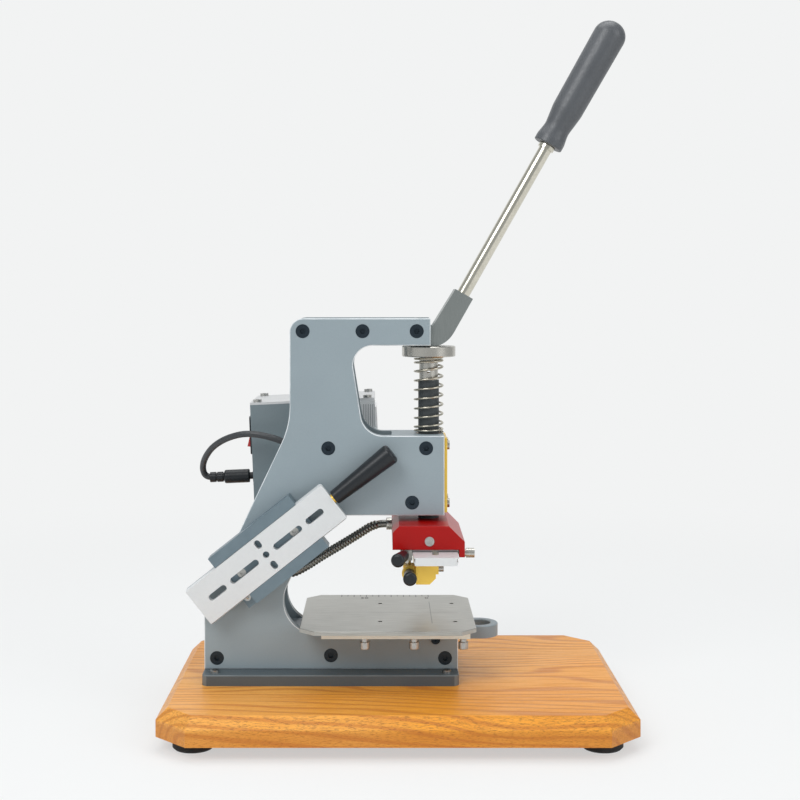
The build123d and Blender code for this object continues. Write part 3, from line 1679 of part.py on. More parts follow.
def hose_station(path, distance):
    """Plane across the hose, its X axis kept as near to Y as the hose allows."""
    share = distance / path.length
    along = path % share
    level = Vector(0, 1, 0) - along * along.Y
    return Plane(origin=path @ share, x_dir=level, z_dir=along)


with BuildPart() as heater_hose:
    with BuildLine() as hose_path:
        FilletPolyline(*hose_route, radius=bend_radii(hose_route))
    hose_wire = hose_path.wires()[0]
    plain_end = 2 * hose_radius
    rib_count = int((hose_wire.length - 2 * plain_end) / hose_rib_pitch)
    rib_start = (hose_wire.length - rib_count * hose_rib_pitch) / 2
    rib_stations = [(0, hose_root_radius)]
    for rib in range(rib_count):
        for share, radius in (
            (0, hose_root_radius), (0.25, hose_radius), (0.6, hose_radius),
            (0.85, hose_root_radius),
        ):
            rib_stations.append((rib_start + (rib + share) * hose_rib_pitch, radius))
    rib_stations.append((hose_wire.length, hose_root_radius))
    for distance, radius in rib_stations:
        with BuildSketch(hose_station(hose_wire, distance)):
            Circle(radius)
    loft(ruled=True)
    with BuildSketch(hose_station(hose_wire, 0)):
        Circle(hose_bore)
    sweep(path=hose_wire, mode=Mode.SUBTRACT)
save(heater_hose, "heater_hose")
print("hose ribs:", rib_count)

lead_end = dc_axis.from_local_coords((plug_back - plug_recess + touch, 0, 0))
lead_route = [(clamp_middle, 0, clamp_top + touch), *lead_bends, tuple(lead_end)]
print("lead bend radii:", [round(r, 1) for r in bend_radii(lead_route)])
with BuildPart() as dc_lead:
    with BuildLine() as lead_path:
        FilletPolyline(*lead_route, radius=bend_radii(lead_route))
    with BuildSketch(Plane.XY.offset(clamp_top + touch)):
        with Locations((clamp_middle, 0)):
            Circle(lead_radius)
    sweep(path=lead_path.wires()[0])
save(dc_lead, "dc_lead")
lead_true = lead_path.wires()[0].length * pi * lead_radius**2
print("lead volume over section x length:", round(dc_lead.part.volume / lead_true, 4))

# ================================================================ small cap screws
with BuildPart() as fixing_screws:
    fixing_screws_on(
        Plane.XY.offset(base_top), base_screw_places, base_thickness + board_screw_depth
    )
    fixing_screws_on(cover_front, cover_places, cover_thickness + fixing_thread_depth - gap)
    fixing_screws_on(
        box_lid_plane, lid_screw_places, box_lid_thickness + fixing_thread_depth - gap
    )
    fixing_screws_on(
        rail_plane.offset(bracket_floor - bracket_head_sunk),
        bracket_places,
        bracket_floor - bracket_head_sunk + fixing_thread_depth - gap,
    )
    fixing_screws_on(near_face, stop_screw_places, plate_thickness - gap)
    fixing_screws_on(
        Plane(
            origin=box_plane.from_local_coords((0, box_wall, 0)), x_dir=box_x, z_dir=(0, 1, 0)
        ),
        [(x, -z) for x, z in box_screws],
        box_wall + touch + fixing_thread_depth - gap,
    )
save(fixing_screws, "fixing_screws")
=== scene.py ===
"""Lever press for embossing leather belts: its finishes, spring, hose, lead and rule.

Metres, in the part's own frame: X to the front of the machine, Y away from the
side that carries the storage rail, Z up.
"""
from math import pi, radians

import bpy
import numpy as np
from mathutils import Matrix, Vector


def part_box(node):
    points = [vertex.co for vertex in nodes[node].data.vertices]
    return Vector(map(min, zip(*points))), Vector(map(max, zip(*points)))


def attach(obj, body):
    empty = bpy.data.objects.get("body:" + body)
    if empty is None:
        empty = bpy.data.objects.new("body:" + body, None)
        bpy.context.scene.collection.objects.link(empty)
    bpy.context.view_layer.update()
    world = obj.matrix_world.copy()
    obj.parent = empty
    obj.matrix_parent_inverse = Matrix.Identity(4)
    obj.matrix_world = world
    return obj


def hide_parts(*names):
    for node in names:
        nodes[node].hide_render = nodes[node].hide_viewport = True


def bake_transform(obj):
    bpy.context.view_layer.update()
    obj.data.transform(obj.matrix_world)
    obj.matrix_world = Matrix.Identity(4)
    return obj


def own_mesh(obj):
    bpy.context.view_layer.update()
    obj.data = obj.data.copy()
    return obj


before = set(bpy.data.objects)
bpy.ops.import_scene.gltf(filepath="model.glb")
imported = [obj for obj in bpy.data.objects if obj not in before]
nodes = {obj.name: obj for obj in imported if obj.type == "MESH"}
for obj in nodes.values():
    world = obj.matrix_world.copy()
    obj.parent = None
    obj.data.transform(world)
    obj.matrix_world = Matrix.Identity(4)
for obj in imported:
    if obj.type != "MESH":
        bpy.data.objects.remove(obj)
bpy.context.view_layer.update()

MM = 0.001

# ------------------------------------------------------------ measured from the frame
table_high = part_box("table_plate")[1]
BOARD_TOP = float(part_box("base_board")[1].z)
spring_low, spring_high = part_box("press_spring")
press_x = (spring_low.x + spring_high.x) / 2

# ------------------------------------------------------------ camera
LENS = 62.9
EYE = (-0.0132, -1.0719, 0.3245)
PITCH = 1.26
SHIFT = (0.0222, -0.10)
SENSOR_WIDTH = 36

# ------------------------------------------------------------ table rule, clamp post, vent lines
RULE_ZERO = 24.0 * MM
RULE_END = -46.7 * MM
RULE_Y = 60.6 * MM
RULE_PITCH = 5 * MM
TICK_LENGTH, TICK_WIDTH = 5.0 * MM, 0.6 * MM
LONG_TICK_LENGTH, LONG_TICK_WIDTH = 7.0 * MM, 0.7 * MM
CROSS_HALF_WIDTH, CROSS_HALF_LENGTH = 0.3 * MM, 36 * MM
CENTRE_HALF_WIDTH, CENTRE_REAR, CENTRE_FRONT = 0.5 * MM, -60 * MM, 45 * MM
FIGURE_HEIGHT = 6.5 * MM
FIGURE_Y = 49.5 * MM
FIGURE_OFFSET_MM = 1.5
FIGURE_DEPTH = 0.02 * MM

POST_X, POST_Y = 6.4 * MM, -38.0 * MM
POST_LOW, POST_HIGH = 119.0 * MM, 124.0 * MM
POST_TIP_RADIUS, POST_RADIUS = 1.4 * MM, 1.7 * MM

VENT_LOW, VENT_HIGH = (-29.3, 20.0, 213.9), (-19.1, 24.0, 234.3)
VENT_HALF_PITCH, VENT_LINE_WIDTH = 0.7 * MM, 0.22 * MM
DARK_FIXING_LOW, DARK_FIXING_HIGH = (15.0, -30.0, 52.0), (40.0, -18.0, 70.0)

# ------------------------------------------------------------ spring, hose, lead
WIRE_RADIUS = 0.8 * MM
SPRING_TURNS = 10.0
SPRING_END_PITCH = 2.35 * MM
HOSE_DIAMETER = 7.3 * MM
HOSE_ROOT = 6.0 * MM
HOSE_RIB_PITCH = 2.5 * MM
LEAD_DIAMETER = 5.0 * MM

HOSE_ROUTE = [
    (-10.0, 30.0, 139.2), (-19.0, 30.0, 139.2), (-31.0, 27.5, 131.8), (-46.0, 19.0, 124.0),
    (-60.0, 10.5, 117.3), (-72.0, 4.3, 110.3), (-84.0, 0.0, 105.0), (-97.0, 0.0, 105.0),
]
LEAD_ROUTE = [
    (-104.0, 0.0, 114.0), (-104.0, 0.0, 125.0), (-96.5, 0.0, 143.5), (-84.0, 0.0, 161.5),
    (-74.0, 0.0, 179.0), (-73.5, 1.0, 194.5), (-83.0, 2.0, 204.5), (-98.0, 3.0, 210.5),
    (-117.0, 6.0, 213.6), (-133.0, 13.0, 209.5), (-146.0, 22.5, 201.5),
    (-153.5, 32.0, 191.5), (-156.4, 39.5, 183.5), (-155.9, 43.8, 176.9),
    (-152.3, 45.0, 173.9), (-147.65, 45.02, 174.09),
]


# ============================================================ colour and mesh helpers
def srgb(red, green, blue):
    """Linear colour of an 8-bit display colour."""
    c = np.array([red, green, blue]) / 255
    c = np.where(c <= 0.04045, c / 12.92, ((c + 0.055) / 1.055) ** 2.4)
    return (*[float(v) for v in c], 1.0)


def new_mesh(name, points, faces):
    """A smooth mesh object at the origin from an (n, 3) array of points and a list of faces."""
    mesh = bpy.data.meshes.new(name)
    mesh.from_pydata(points.tolist(), [], faces)
    mesh.polygons.foreach_set("use_smooth", [True] * len(mesh.polygons))
    mesh.update()
    piece = bpy.data.objects.new(name, mesh)
    bpy.context.scene.collection.objects.link(piece)
    return piece


def grid_faces(rows, columns, wrap=False):
    """Quads of a rows by columns grid of points; wrap joins the last column to the first."""
    r = np.arange(rows - 1)[:, None]
    c = np.arange(columns if wrap else columns - 1)[None, :]
    after = (c + 1) % columns
    quads = np.stack(
        [
            r * columns + c, r * columns + after,
            (r + 1) * columns + after, (r + 1) * columns + c,
        ],
        axis=-1,
    )
    return quads.reshape(-1, 4)


def carried_frames(path, first_side):
    """Tangent, side and lift at each point of a path; the side stays nearest to first_side."""
    tangent = np.gradient(path, axis=0)
    tangent /= np.linalg.norm(tangent, axis=1, keepdims=True)
    side = np.asarray(first_side, float) - tangent * (tangent @ first_side)[:, None]
    side /= np.linalg.norm(side, axis=1, keepdims=True)
    return tangent, side, np.cross(tangent, side)


def tube(name, path, radii, first_side, around=20):
    """Closed round tube, capped: point = path + radius * (cos a * side + sin a * lift)."""
    tangent, side, lift = carried_frames(path, np.asarray(first_side, float))
    angle = np.linspace(0, 2 * pi, around, endpoint=False)
    ring = (
        np.cos(angle)[None, :, None] * side[:, None, :]
        + np.sin(angle)[None, :, None] * lift[:, None, :]
    )
    points = (path[:, None, :] + np.asarray(radii)[:, None, None] * ring).reshape(-1, 3)
    faces = grid_faces(len(path), around, wrap=True)[:, ::-1]
    first = len(points)
    points = np.vstack([points, path[0], path[-1]])
    a = np.arange(around)
    b = (a + 1) % around
    last = first - around
    caps = np.vstack([
        np.stack([np.full(around, first), b, a], axis=-1),
        np.stack([np.full(around, first + 1), last + a, last + b], axis=-1),
    ])
    return new_mesh(name, points, faces.tolist() + caps.tolist())


def route_curve(name, route, diameter):
    """A NURBS curve of order 3 that uses the route's points as its control points."""
    curve = bpy.data.curves.new(name, "CURVE")
    curve.dimensions = "3D"
    spline = curve.splines.new("NURBS")
    spline.points.add(len(route) - 1)
    control = np.ones((len(route), 4))
    control[:, :3] = np.array(route) * MM
    spline.points.foreach_set("co", control.ravel())
    spline.order_u = 3
    spline.use_endpoint_u = True
    spline.resolution_u = 16
    curve.bevel_depth = diameter / 2
    curve.bevel_resolution = 6
    curve.use_fill_caps = True
    piece = bpy.data.objects.new(name, curve)
    bpy.context.scene.collection.objects.link(piece)
    return piece


def route_points(route):
    """Points of the route's own NURBS line, as the curve itself gives them."""
    bare = route_curve("bare_line", route, 0)
    bpy.context.view_layer.update()
    line = bpy.data.meshes.new_from_object(
        bare.evaluated_get(bpy.context.evaluated_depsgraph_get())
    )
    points = np.zeros(len(line.vertices) * 3)
    line.vertices.foreach_get("co", points)
    curve = bare.data
    bpy.data.objects.remove(bare)
    bpy.data.curves.remove(curve)
    bpy.data.meshes.remove(line)
    return points.reshape(-1, 3)


def path_length(points):
    """Length of a run of points."""
    return float(np.linalg.norm(np.diff(points, axis=0), axis=1).sum())


def even_points(points, count):
    """The same line with count evenly spaced points."""
    steps = np.linalg.norm(np.diff(points, axis=0), axis=1)
    along = np.concatenate([[0], np.cumsum(steps)])
    want = np.linspace(0, along[-1], count)
    return np.stack([np.interp(want, along, points[:, k]) for k in range(3)], axis=-1), want


# ============================================================ shader helpers
def new_group(name, inputs, outputs):
    """An empty shader group with the named sockets; returns the group, its input and output."""
    group = bpy.data.node_groups.new(name, "ShaderNodeTree")
    for label, kind, value in inputs:
        socket = group.interface.new_socket(label, in_out="INPUT", socket_type=kind)
        socket.default_value = value
    for label, kind in outputs:
        group.interface.new_socket(label, in_out="OUTPUT", socket_type=kind)
    return group, group.nodes.new("NodeGroupInput"), group.nodes.new("NodeGroupOutput")


def math_node(tree, operation, a, b=0.0, clamp=False):
    """A Math node; a and b are numbers or sockets."""
    node = tree.nodes.new("ShaderNodeMath")
    node.operation = operation
    node.use_clamp = clamp
    for index, value in enumerate((a, b)):
        if isinstance(value, (int, float)):
            node.inputs[index].default_value = value
        else:
            tree.links.new(value, node.inputs[index])
    return node.outputs[0]


def vector_scaled(tree, vector, stretch):
    """The vector times a stretch, which is a 3-tuple or a socket."""
    node = tree.nodes.new("ShaderNodeVectorMath")
    node.operation = "MULTIPLY"
    tree.links.new(vector, node.inputs[0])
    if isinstance(stretch, tuple):
        node.inputs[1].default_value = stretch
    else:
        tree.links.new(stretch, node.inputs[1])
    return node.outputs[0]


def noise(tree, vector, scale, detail=4.0, rough=0.55, distortion=0.0):
    """A noise texture's value over the vector."""
    node = tree.nodes.new("ShaderNodeTexNoise")
    node.inputs["Detail"].default_value = detail
    node.inputs["Roughness"].default_value = rough
    node.inputs["Distortion"].default_value = distortion
    if isinstance(scale, (int, float)):
        node.inputs["Scale"].default_value = scale
    else:
        tree.links.new(scale, node.inputs["Scale"])
    tree.links.new(vector, node.inputs["Vector"])
    return node.outputs[0]


def ramp(tree, value, low, high, out_low=0.0, out_high=1.0):
    """Maps value from low..high to out_low..out_high, smoothly and clamped."""
    node = tree.nodes.new("ShaderNodeMapRange")
    node.interpolation_type = "SMOOTHSTEP"
    node.inputs["From Min"].default_value = low
    node.inputs["From Max"].default_value = high
    for label, bound in (("To Min", out_low), ("To Max", out_high)):
        if isinstance(bound, (int, float)):
            node.inputs[label].default_value = bound
        else:
            tree.links.new(bound, node.inputs[label])
    tree.links.new(value, node.inputs["Value"])
    return node.outputs[0]


def blend_colour(tree, share, a, b):
    """Colour a where share is 0 and b where it is 1; each is a colour or a socket."""
    node = tree.nodes.new("ShaderNodeMix")
    node.data_type = "RGBA"
    if isinstance(share, (int, float)):
        node.inputs[0].default_value = share
    else:
        tree.links.new(share, node.inputs[0])
    for socket, colour in ((node.inputs[6], a), (node.inputs[7], b)):
        if isinstance(colour, tuple):
            socket.default_value = colour
        else:
            tree.links.new(colour, socket)
    return node.outputs[2]


def object_place(tree):
    """The shaded point in the row frame."""
    return tree.nodes.new("ShaderNodeTexCoord").outputs["Object"]


def surface_tone_group():
    """Slow drift of tone, fine mottling and small scratches, each along its own stretch."""
    tree, given, out = new_group(
        "surface_tone",
        [
            ("Place", "NodeSocketVector", (0, 0, 0)),
            ("Colour", "NodeSocketColor", (0.5, 0.5, 0.5, 1)),
            ("Shade", "NodeSocketColor", (0.4, 0.4, 0.4, 1)),
            ("Drift Scale", "NodeSocketFloat", 12.0),
            ("Fine Scale", "NodeSocketFloat", 900.0),
            ("Stretch", "NodeSocketVector", (1, 1, 1)),
            ("Drift", "NodeSocketFloat", 0.5),
            ("Mottle", "NodeSocketFloat", 0.25),
            ("Rough Low", "NodeSocketFloat", 0.35),
            ("Rough High", "NodeSocketFloat", 0.5),
        ],
        [
            ("Colour", "NodeSocketColor"),
            ("Roughness", "NodeSocketFloat"),
            ("Height", "NodeSocketFloat"),
        ],
    )
    place = vector_scaled(tree, given.outputs["Place"], given.outputs["Stretch"])
    slow = ramp(tree, noise(tree, given.outputs["Place"], given.outputs["Drift Scale"]), 0.3, 0.7)
    fine = noise(tree, place, given.outputs["Fine Scale"], detail=6, rough=0.65)
    drifted = math_node(tree, "MULTIPLY", slow, given.outputs["Drift"])
    mottled = math_node(tree, "MULTIPLY", ramp(tree, fine, 0.35, 0.7), given.outputs["Mottle"])
    share = math_node(tree, "ADD", drifted, mottled, clamp=True)
    colour = blend_colour(tree, share, given.outputs["Colour"], given.outputs["Shade"])
    rough = ramp(tree, fine, 0.3, 0.7, given.outputs["Rough Low"], given.outputs["Rough High"])
    tree.links.new(colour, out.inputs["Colour"])
    tree.links.new(rough, out.inputs["Roughness"])
    tree.links.new(fine, out.inputs["Height"])
    return tree


def bare_edge_group():
    """Mask of the painted highlight on the narrow bevels of a flat piece: 1 where the face is
    turned from its main axes, made patchy by noise.
    """
    tree, given, out = new_group(
        "painted_edge_glint",
        [("Normal", "NodeSocketVector", (0, 0, 1)), ("Place", "NodeSocketVector", (0, 0, 0))],
        [("Mask", "NodeSocketFloat")],
    )
    parts = tree.nodes.new("ShaderNodeSeparateXYZ")
    tree.links.new(given.outputs["Normal"], parts.inputs[0])
    across = math_node(tree, "ABSOLUTE", parts.outputs["Y"])
    turned = math_node(
        tree, "MULTIPLY", ramp(tree, across, 0.35, 0.5), ramp(tree, across, 0.97, 0.9)
    )
    # noise makes the painted bevel highlight patchy
    glint_patches = ramp(tree, noise(tree, given.outputs["Place"], 60.0), 0.25, 0.6, 0.45, 1.0)
    tree.links.new(math_node(tree, "MULTIPLY", turned, glint_patches), out.inputs["Mask"])
    return tree


SURFACE_TONE = surface_tone_group()
PAINTED_EDGE_GLINT = bare_edge_group()
BACKDROP = srgb(242, 243, 243)


def new_material(name, **sockets):
    """A material with one Principled shader whose plain sockets are set by name."""
    material = bpy.data.materials.new(name)
    material.use_nodes = True
    shader = material.node_tree.nodes["Principled BSDF"]
    for label, value in sockets.items():
        shader.inputs[label.replace("_", " ")].default_value = value
    return material, material.node_tree, shader


def put_group(tree, group, **values):
    """Places a group in a material and sets its plain inputs by name."""
    node = tree.nodes.new("ShaderNodeGroup")
    node.node_tree = group
    for label, value in values.items():
        node.inputs[label.replace("_", " ")].default_value = value
    return node


def bump(tree, shader, height, strength, distance):
    """Feeds a height to the shader's normal."""
    node = tree.nodes.new("ShaderNodeBump")
    node.inputs["Strength"].default_value = strength
    node.inputs["Distance"].default_value = distance
    tree.links.new(height, node.inputs["Height"])
    tree.links.new(node.outputs[0], shader.inputs["Normal"])


def finish(name, colour, shade, rough, drift=0.4, mottle=0.25, drift_scale=14.0,
           fine_scale=900.0, stretch=(1, 1, 1), relief=0.05, relief_depth=0.0001,
           metallic=0.0, coat=0.0, coat_rough=0.15, specular=0.5):
    """A plain finish: two close tones, a range of roughness and a fine relief."""
    material, tree, shader = new_material(
        name, Metallic=metallic, Coat_Weight=coat, Coat_Roughness=coat_rough,
        Specular_IOR_Level=specular,
    )
    tone = put_group(
        tree, SURFACE_TONE, Colour=colour, Shade=shade, Drift_Scale=drift_scale,
        Fine_Scale=fine_scale, Stretch=stretch, Drift=drift, Mottle=mottle,
        Rough_Low=rough[0], Rough_High=rough[1],
    )
    tree.links.new(object_place(tree), tone.inputs["Place"])
    tree.links.new(tone.outputs["Colour"], shader.inputs["Base Color"])
    tree.links.new(tone.outputs["Roughness"], shader.inputs["Roughness"])
    bump(tree, shader, tone.outputs["Height"], relief, relief_depth)
    return material


def edged_paint(name, colour, shade, edge, rough):
    """Satin paint on a plate whose narrow bevels carry a painted highlight in the edge colour."""
    material = finish(
        name, colour, shade, rough, drift=0.5, mottle=0.2, drift_scale=7.0,
        fine_scale=1500.0, relief=0.08, relief_depth=0.00005,
    )
    tree = material.node_tree
    shader = tree.nodes["Principled BSDF"]
    place = tree.nodes.new("ShaderNodeTexCoord")
    mask = put_group(tree, PAINTED_EDGE_GLINT)
    tree.links.new(place.outputs["Normal"], mask.inputs["Normal"])
    tree.links.new(place.outputs["Object"], mask.inputs["Place"])
    painted = shader.inputs["Base Color"].links[0].from_socket
    # the edge colour is a painted highlight laid over the paint on the bevels
    tree.links.new(
        blend_colour(tree, mask.outputs["Mask"], painted, edge), shader.inputs["Base Color"]
    )
    return material


def stained_wood(name):
    """Orange-stained oak: waving growth lines along X, fine grain and short dark pores."""
    material, tree, shader = new_material(
        name, Coat_Weight=0.08, Coat_Roughness=0.25, Specular_IOR_Level=0.35
    )
    place = object_place(tree)
    growth_rate, growth_sway = 560.0, 0.16
    grain_scale, pore_scale = 520.0, 1700.0
    warp = noise(tree, vector_scaled(tree, place, (0.22, 1.0, 1.0)), 11.0, detail=2)
    split = tree.nodes.new("ShaderNodeSeparateXYZ")
    tree.links.new(place, split.inputs[0])
    rise = math_node(tree, "MULTIPLY", split.outputs["Z"], 0.6)
    depth = math_node(tree, "ADD", split.outputs["Y"], rise)
    rings = math_node(tree, "ADD", depth, math_node(tree, "MULTIPLY", warp, growth_sway))
    wave = math_node(tree, "SINE", math_node(tree, "MULTIPLY", rings, growth_rate))
    lines = ramp(tree, wave, 0.1, 1.0)
    along_grain = vector_scaled(tree, place, (0.05, 1, 1))
    grain = ramp(tree, noise(tree, along_grain, grain_scale, 6, 0.7), 0.38, 0.66)
    along_pores = vector_scaled(tree, place, (0.16, 1, 1))
    pores = ramp(tree, noise(tree, along_pores, pore_scale, 4, 0.7), 0.49, 0.62)
    drift = ramp(tree, noise(tree, place, 6.0, 2), 0.3, 0.7)
    light = blend_colour(tree, drift, srgb(243, 176, 84), srgb(236, 158, 44))
    lined = blend_colour(
        tree, math_node(tree, "MULTIPLY", lines, 0.6), light, srgb(190, 110, 38)
    )
    streaked = blend_colour(
        tree, math_node(tree, "MULTIPLY", grain, 0.35), lined, srgb(188, 108, 34)
    )
    flat = ramp(tree, split.outputs["Z"], BOARD_TOP - 0.4 * MM, BOARD_TOP - 0.1 * MM, 0.6, 0.16)
    colour = blend_colour(
        tree, math_node(tree, "MULTIPLY", pores, flat), streaked, srgb(126, 68, 20)
    )
    edge = ramp(tree, split.outputs["Z"], BOARD_TOP - 11 * MM, BOARD_TOP - 8 * MM, 0.45, 0.0)
    colour = blend_colour(tree, edge, colour, srgb(188, 108, 30))
    tree.links.new(colour, shader.inputs["Base Color"])
    tree.links.new(ramp(tree, grain, 0, 1, 0.34, 0.5), shader.inputs["Roughness"])
    height = math_node(tree, "SUBTRACT", grain, math_node(tree, "MULTIPLY", pores, 2.0))
    bump(tree, shader, height, 0.25, 0.00012)
    return material


def brushed(name, colour, shade, rough, stretch, fine_scale=1400.0, relief=0.12):
    """Bright metal with fine grinding marks along the axis that the stretch leaves short."""
    return finish(
        name, colour, shade, rough, drift=0.35, mottle=0.5, drift_scale=10.0,
        fine_scale=fine_scale, stretch=stretch, relief=relief, relief_depth=0.00004,
        metallic=1.0,
    )


def ruled_steel(name):
    """Ground steel table top with a 5 mm scale along its far edge and two thin cross lines."""
    material = brushed(
        name, srgb(188, 187, 181), srgb(156, 155, 149), (0.28, 0.4), (0.03, 1, 1)
    )
    tree = material.node_tree
    shader = tree.nodes["Principled BSDF"]
    place = object_place(tree)
    part = tree.nodes.new("ShaderNodeSeparateXYZ")
    tree.links.new(place, part.inputs[0])
    x, y, z = part.outputs

    def inside(value, low, high):
        """1 between low and high, 0 outside."""
        return math_node(
            tree, "MULTIPLY",
            math_node(tree, "GREATER_THAN", value, low),
            math_node(tree, "LESS_THAN", value, high),
        )

    def line_mask(value, pitch, phase, width):
        """1 on lines a pitch apart, counted from the phase."""
        off = math_node(tree, "SUBTRACT", value, phase)
        near = math_node(tree, "PINGPONG", off, pitch / 2)
        return math_node(tree, "LESS_THAN", near, width / 2)

    span = inside(x, RULE_END - 0.5 * MM, RULE_ZERO + 0.5 * MM)
    short = math_node(
        tree, "MULTIPLY", line_mask(x, RULE_PITCH, RULE_ZERO, TICK_WIDTH),
        inside(y, RULE_Y - TICK_LENGTH, RULE_Y),
    )
    longer = math_node(
        tree, "MULTIPLY", line_mask(x, 2 * RULE_PITCH, RULE_ZERO, LONG_TICK_WIDTH),
        inside(y, RULE_Y - LONG_TICK_LENGTH, RULE_Y),
    )
    ticks = math_node(tree, "MULTIPLY", math_node(tree, "MAXIMUM", short, longer), span)
    cross = math_node(
        tree, "MULTIPLY", inside(x, RULE_ZERO - CROSS_HALF_WIDTH, RULE_ZERO + CROSS_HALF_WIDTH),
        inside(y, -CROSS_HALF_LENGTH, CROSS_HALF_LENGTH),
    )
    centre = math_node(
        tree, "MULTIPLY", inside(y, -CENTRE_HALF_WIDTH, CENTRE_HALF_WIDTH),
        inside(x, CENTRE_REAR, CENTRE_FRONT),
    )
    lines = math_node(tree, "MAXIMUM", ticks, math_node(tree, "MULTIPLY", cross, 0.6))
    lines = math_node(tree, "MAXIMUM", lines, math_node(tree, "MULTIPLY", centre, 0.35))
    top = math_node(tree, "GREATER_THAN", z, float(table_high.z) - 0.05 * MM)
    lines = math_node(tree, "MULTIPLY", lines, top)
    ground = shader.inputs["Base Color"].links[0].from_socket
    tree.links.new(
        blend_colour(tree, lines, ground, srgb(70, 72, 74)), shader.inputs["Base Color"]
    )
    return material


# ============================================================ finishes
FINISHES = {
    # the third colour of each edged paint is the painted highlight on the plate bevels
    "frame_paint": edged_paint(
        "frame_paint", srgb(148, 161, 167), srgb(134, 147, 154), srgb(226, 231, 233), (0.36, 0.46)
    ),
    "base_paint": edged_paint(
        "base_paint", srgb(84, 94, 99), srgb(68, 78, 85), srgb(112, 120, 123), (0.35, 0.5)
    ),
    "bar_paint": finish(
        "bar_paint", srgb(140, 152, 160), srgb(124, 137, 145), (0.36, 0.46), relief=0.05
    ),
    "wood": stained_wood("stained_wood"),
    "rubber": finish("rubber", srgb(38, 38, 38), srgb(26, 26, 26), (0.65, 0.85), relief=0.2),
    "steel": brushed(
        "turned_steel", srgb(205, 203, 196), srgb(168, 165, 158), (0.22, 0.36), (1, 1, 0.05)
    ),
    "ground_steel": brushed(
        "ground_steel", srgb(190, 190, 185), srgb(160, 160, 155), (0.3, 0.42), (0.03, 1, 1)
    ),
    "table": None,
    "cast_arm": brushed(
        "milled_arm", srgb(165, 170, 168), srgb(132, 138, 137), (0.3, 0.45), (1, 1, 0.08)
    ),
    "chrome": brushed(
        "bright_rod", srgb(222, 218, 205), srgb(190, 186, 172), (0.12, 0.22),
        (0.4, 0.4, 0.4), relief=0.05
    ),
    "spring": brushed(
        "spring_wire", srgb(205, 200, 186), srgb(150, 146, 134), (0.18, 0.3), (1, 1, 1)
    ),
    "screw": brushed("blackened_screw", srgb(62, 72, 80), srgb(42, 50, 58), (0.35, 0.5), (1, 1, 1)),
    "fixing": brushed(
        "fixing_screw", srgb(196, 196, 192), srgb(150, 150, 148), (0.25, 0.4), (1, 1, 1)
    ),
    "small_screw": brushed(
        "zinc_screw", srgb(196, 196, 192), srgb(150, 150, 148), (0.25, 0.4), (1, 1, 1)
    ),
    "red": finish(
        "red_enamel", srgb(170, 8, 5), srgb(148, 5, 4), (0.3, 0.4), drift=0.35, mottle=0.15,
        fine_scale=1200.0, relief=0.06, coat=0.08, coat_rough=0.15, specular=0.22,
    ),
    "brass": finish(
        "polished_brass", srgb(244, 206, 92), srgb(232, 186, 72), (0.3, 0.4), drift=0.4,
        mottle=0.1, fine_scale=700.0, stretch=(1, 0.06, 1), relief=0.02, metallic=0.5,
    ),
    "black": finish(
        "moulded_black", srgb(28, 33, 38), srgb(18, 22, 26), (0.3, 0.42), drift=0.4, mottle=0.25,
        fine_scale=800.0, relief=0.04, coat=0.12, coat_rough=0.25, specular=0.35,
    ),
    "grip": finish(
        "lever_grip_skin", srgb(88, 91, 95), srgb(70, 73, 77), (0.36, 0.5), drift=0.5,
        mottle=0.3, fine_scale=700.0, stretch=(1, 1, 0.5), relief=0.1, coat=0.1,
    ),
    "rail": finish(
        "anodised_rail", srgb(116, 133, 142), srgb(102, 119, 129), (0.34, 0.46), drift=0.4,
        mottle=0.3, fine_scale=1300.0, stretch=(0.1, 1, 0.1), relief=0.06, metallic=0.35,
    ),
    "alloy": finish(
        "milled_alloy", srgb(222, 225, 226), srgb(210, 213, 215), (0.36, 0.46), drift=0.35,
        mottle=0.2, fine_scale=1500.0, stretch=(0.2, 1, 0.2), relief=0.05,
        relief_depth=0.00004, metallic=0.25,
    ),
    "ivory_plate": finish(
        "bright_plate", srgb(232, 228, 214), srgb(216, 211, 196), (0.3, 0.42), mottle=0.2,
        fine_scale=1500.0, stretch=(0.1, 1, 1), relief=0.05, relief_depth=0.00004, metallic=0.3,
    ),
    "lid": brushed(
        "lid_alloy", srgb(226, 227, 228), srgb(206, 208, 209), (0.35, 0.48), (0.05, 1, 1)
    ),
    "box": finish(
        "box_paint", srgb(122, 135, 140), srgb(108, 121, 127), (0.38, 0.5), drift=0.5, mottle=0.2,
        relief=0.08,
    ),
    "cover": finish(
        "pale_cover", srgb(250, 250, 250), srgb(244, 245, 245), (0.4, 0.5), drift=0.3, mottle=0.15,
        relief=0.05,
    ),
    "mark": finish("rule_mark", srgb(62, 64, 66), srgb(50, 52, 54), (0.5, 0.6)),
    "mica": finish("mica_board", srgb(196, 184, 156), srgb(170, 156, 126), (0.5, 0.7), mottle=0.6),
    "sleeve": finish(
        "sleeve_black", srgb(60, 66, 68), srgb(44, 49, 52), (0.4, 0.55), mottle=0.3, relief=0.05
    ),
    "bronze": brushed(
        "bush_bronze", srgb(176, 140, 92), srgb(146, 112, 70), (0.3, 0.4), (1, 1, 0.1)
    ),
    "red_plastic": finish("rocker_red", srgb(190, 26, 22), srgb(170, 18, 16), (0.2, 0.3), coat=0.4),
    "jacket": finish(
        "cable_jacket", srgb(62, 65, 68), srgb(46, 49, 52), (0.36, 0.5), drift=0.5, mottle=0.4,
        fine_scale=1000.0, relief=0.12,
    ),
    "sheath": finish(
        "hose_sheath", srgb(150, 150, 145), srgb(112, 113, 110), (0.24, 0.36), drift=0.4,
        mottle=0.3, relief=0.05, metallic=1.0,
    ),
}
FINISHES["table"] = ruled_steel("ruled_table")


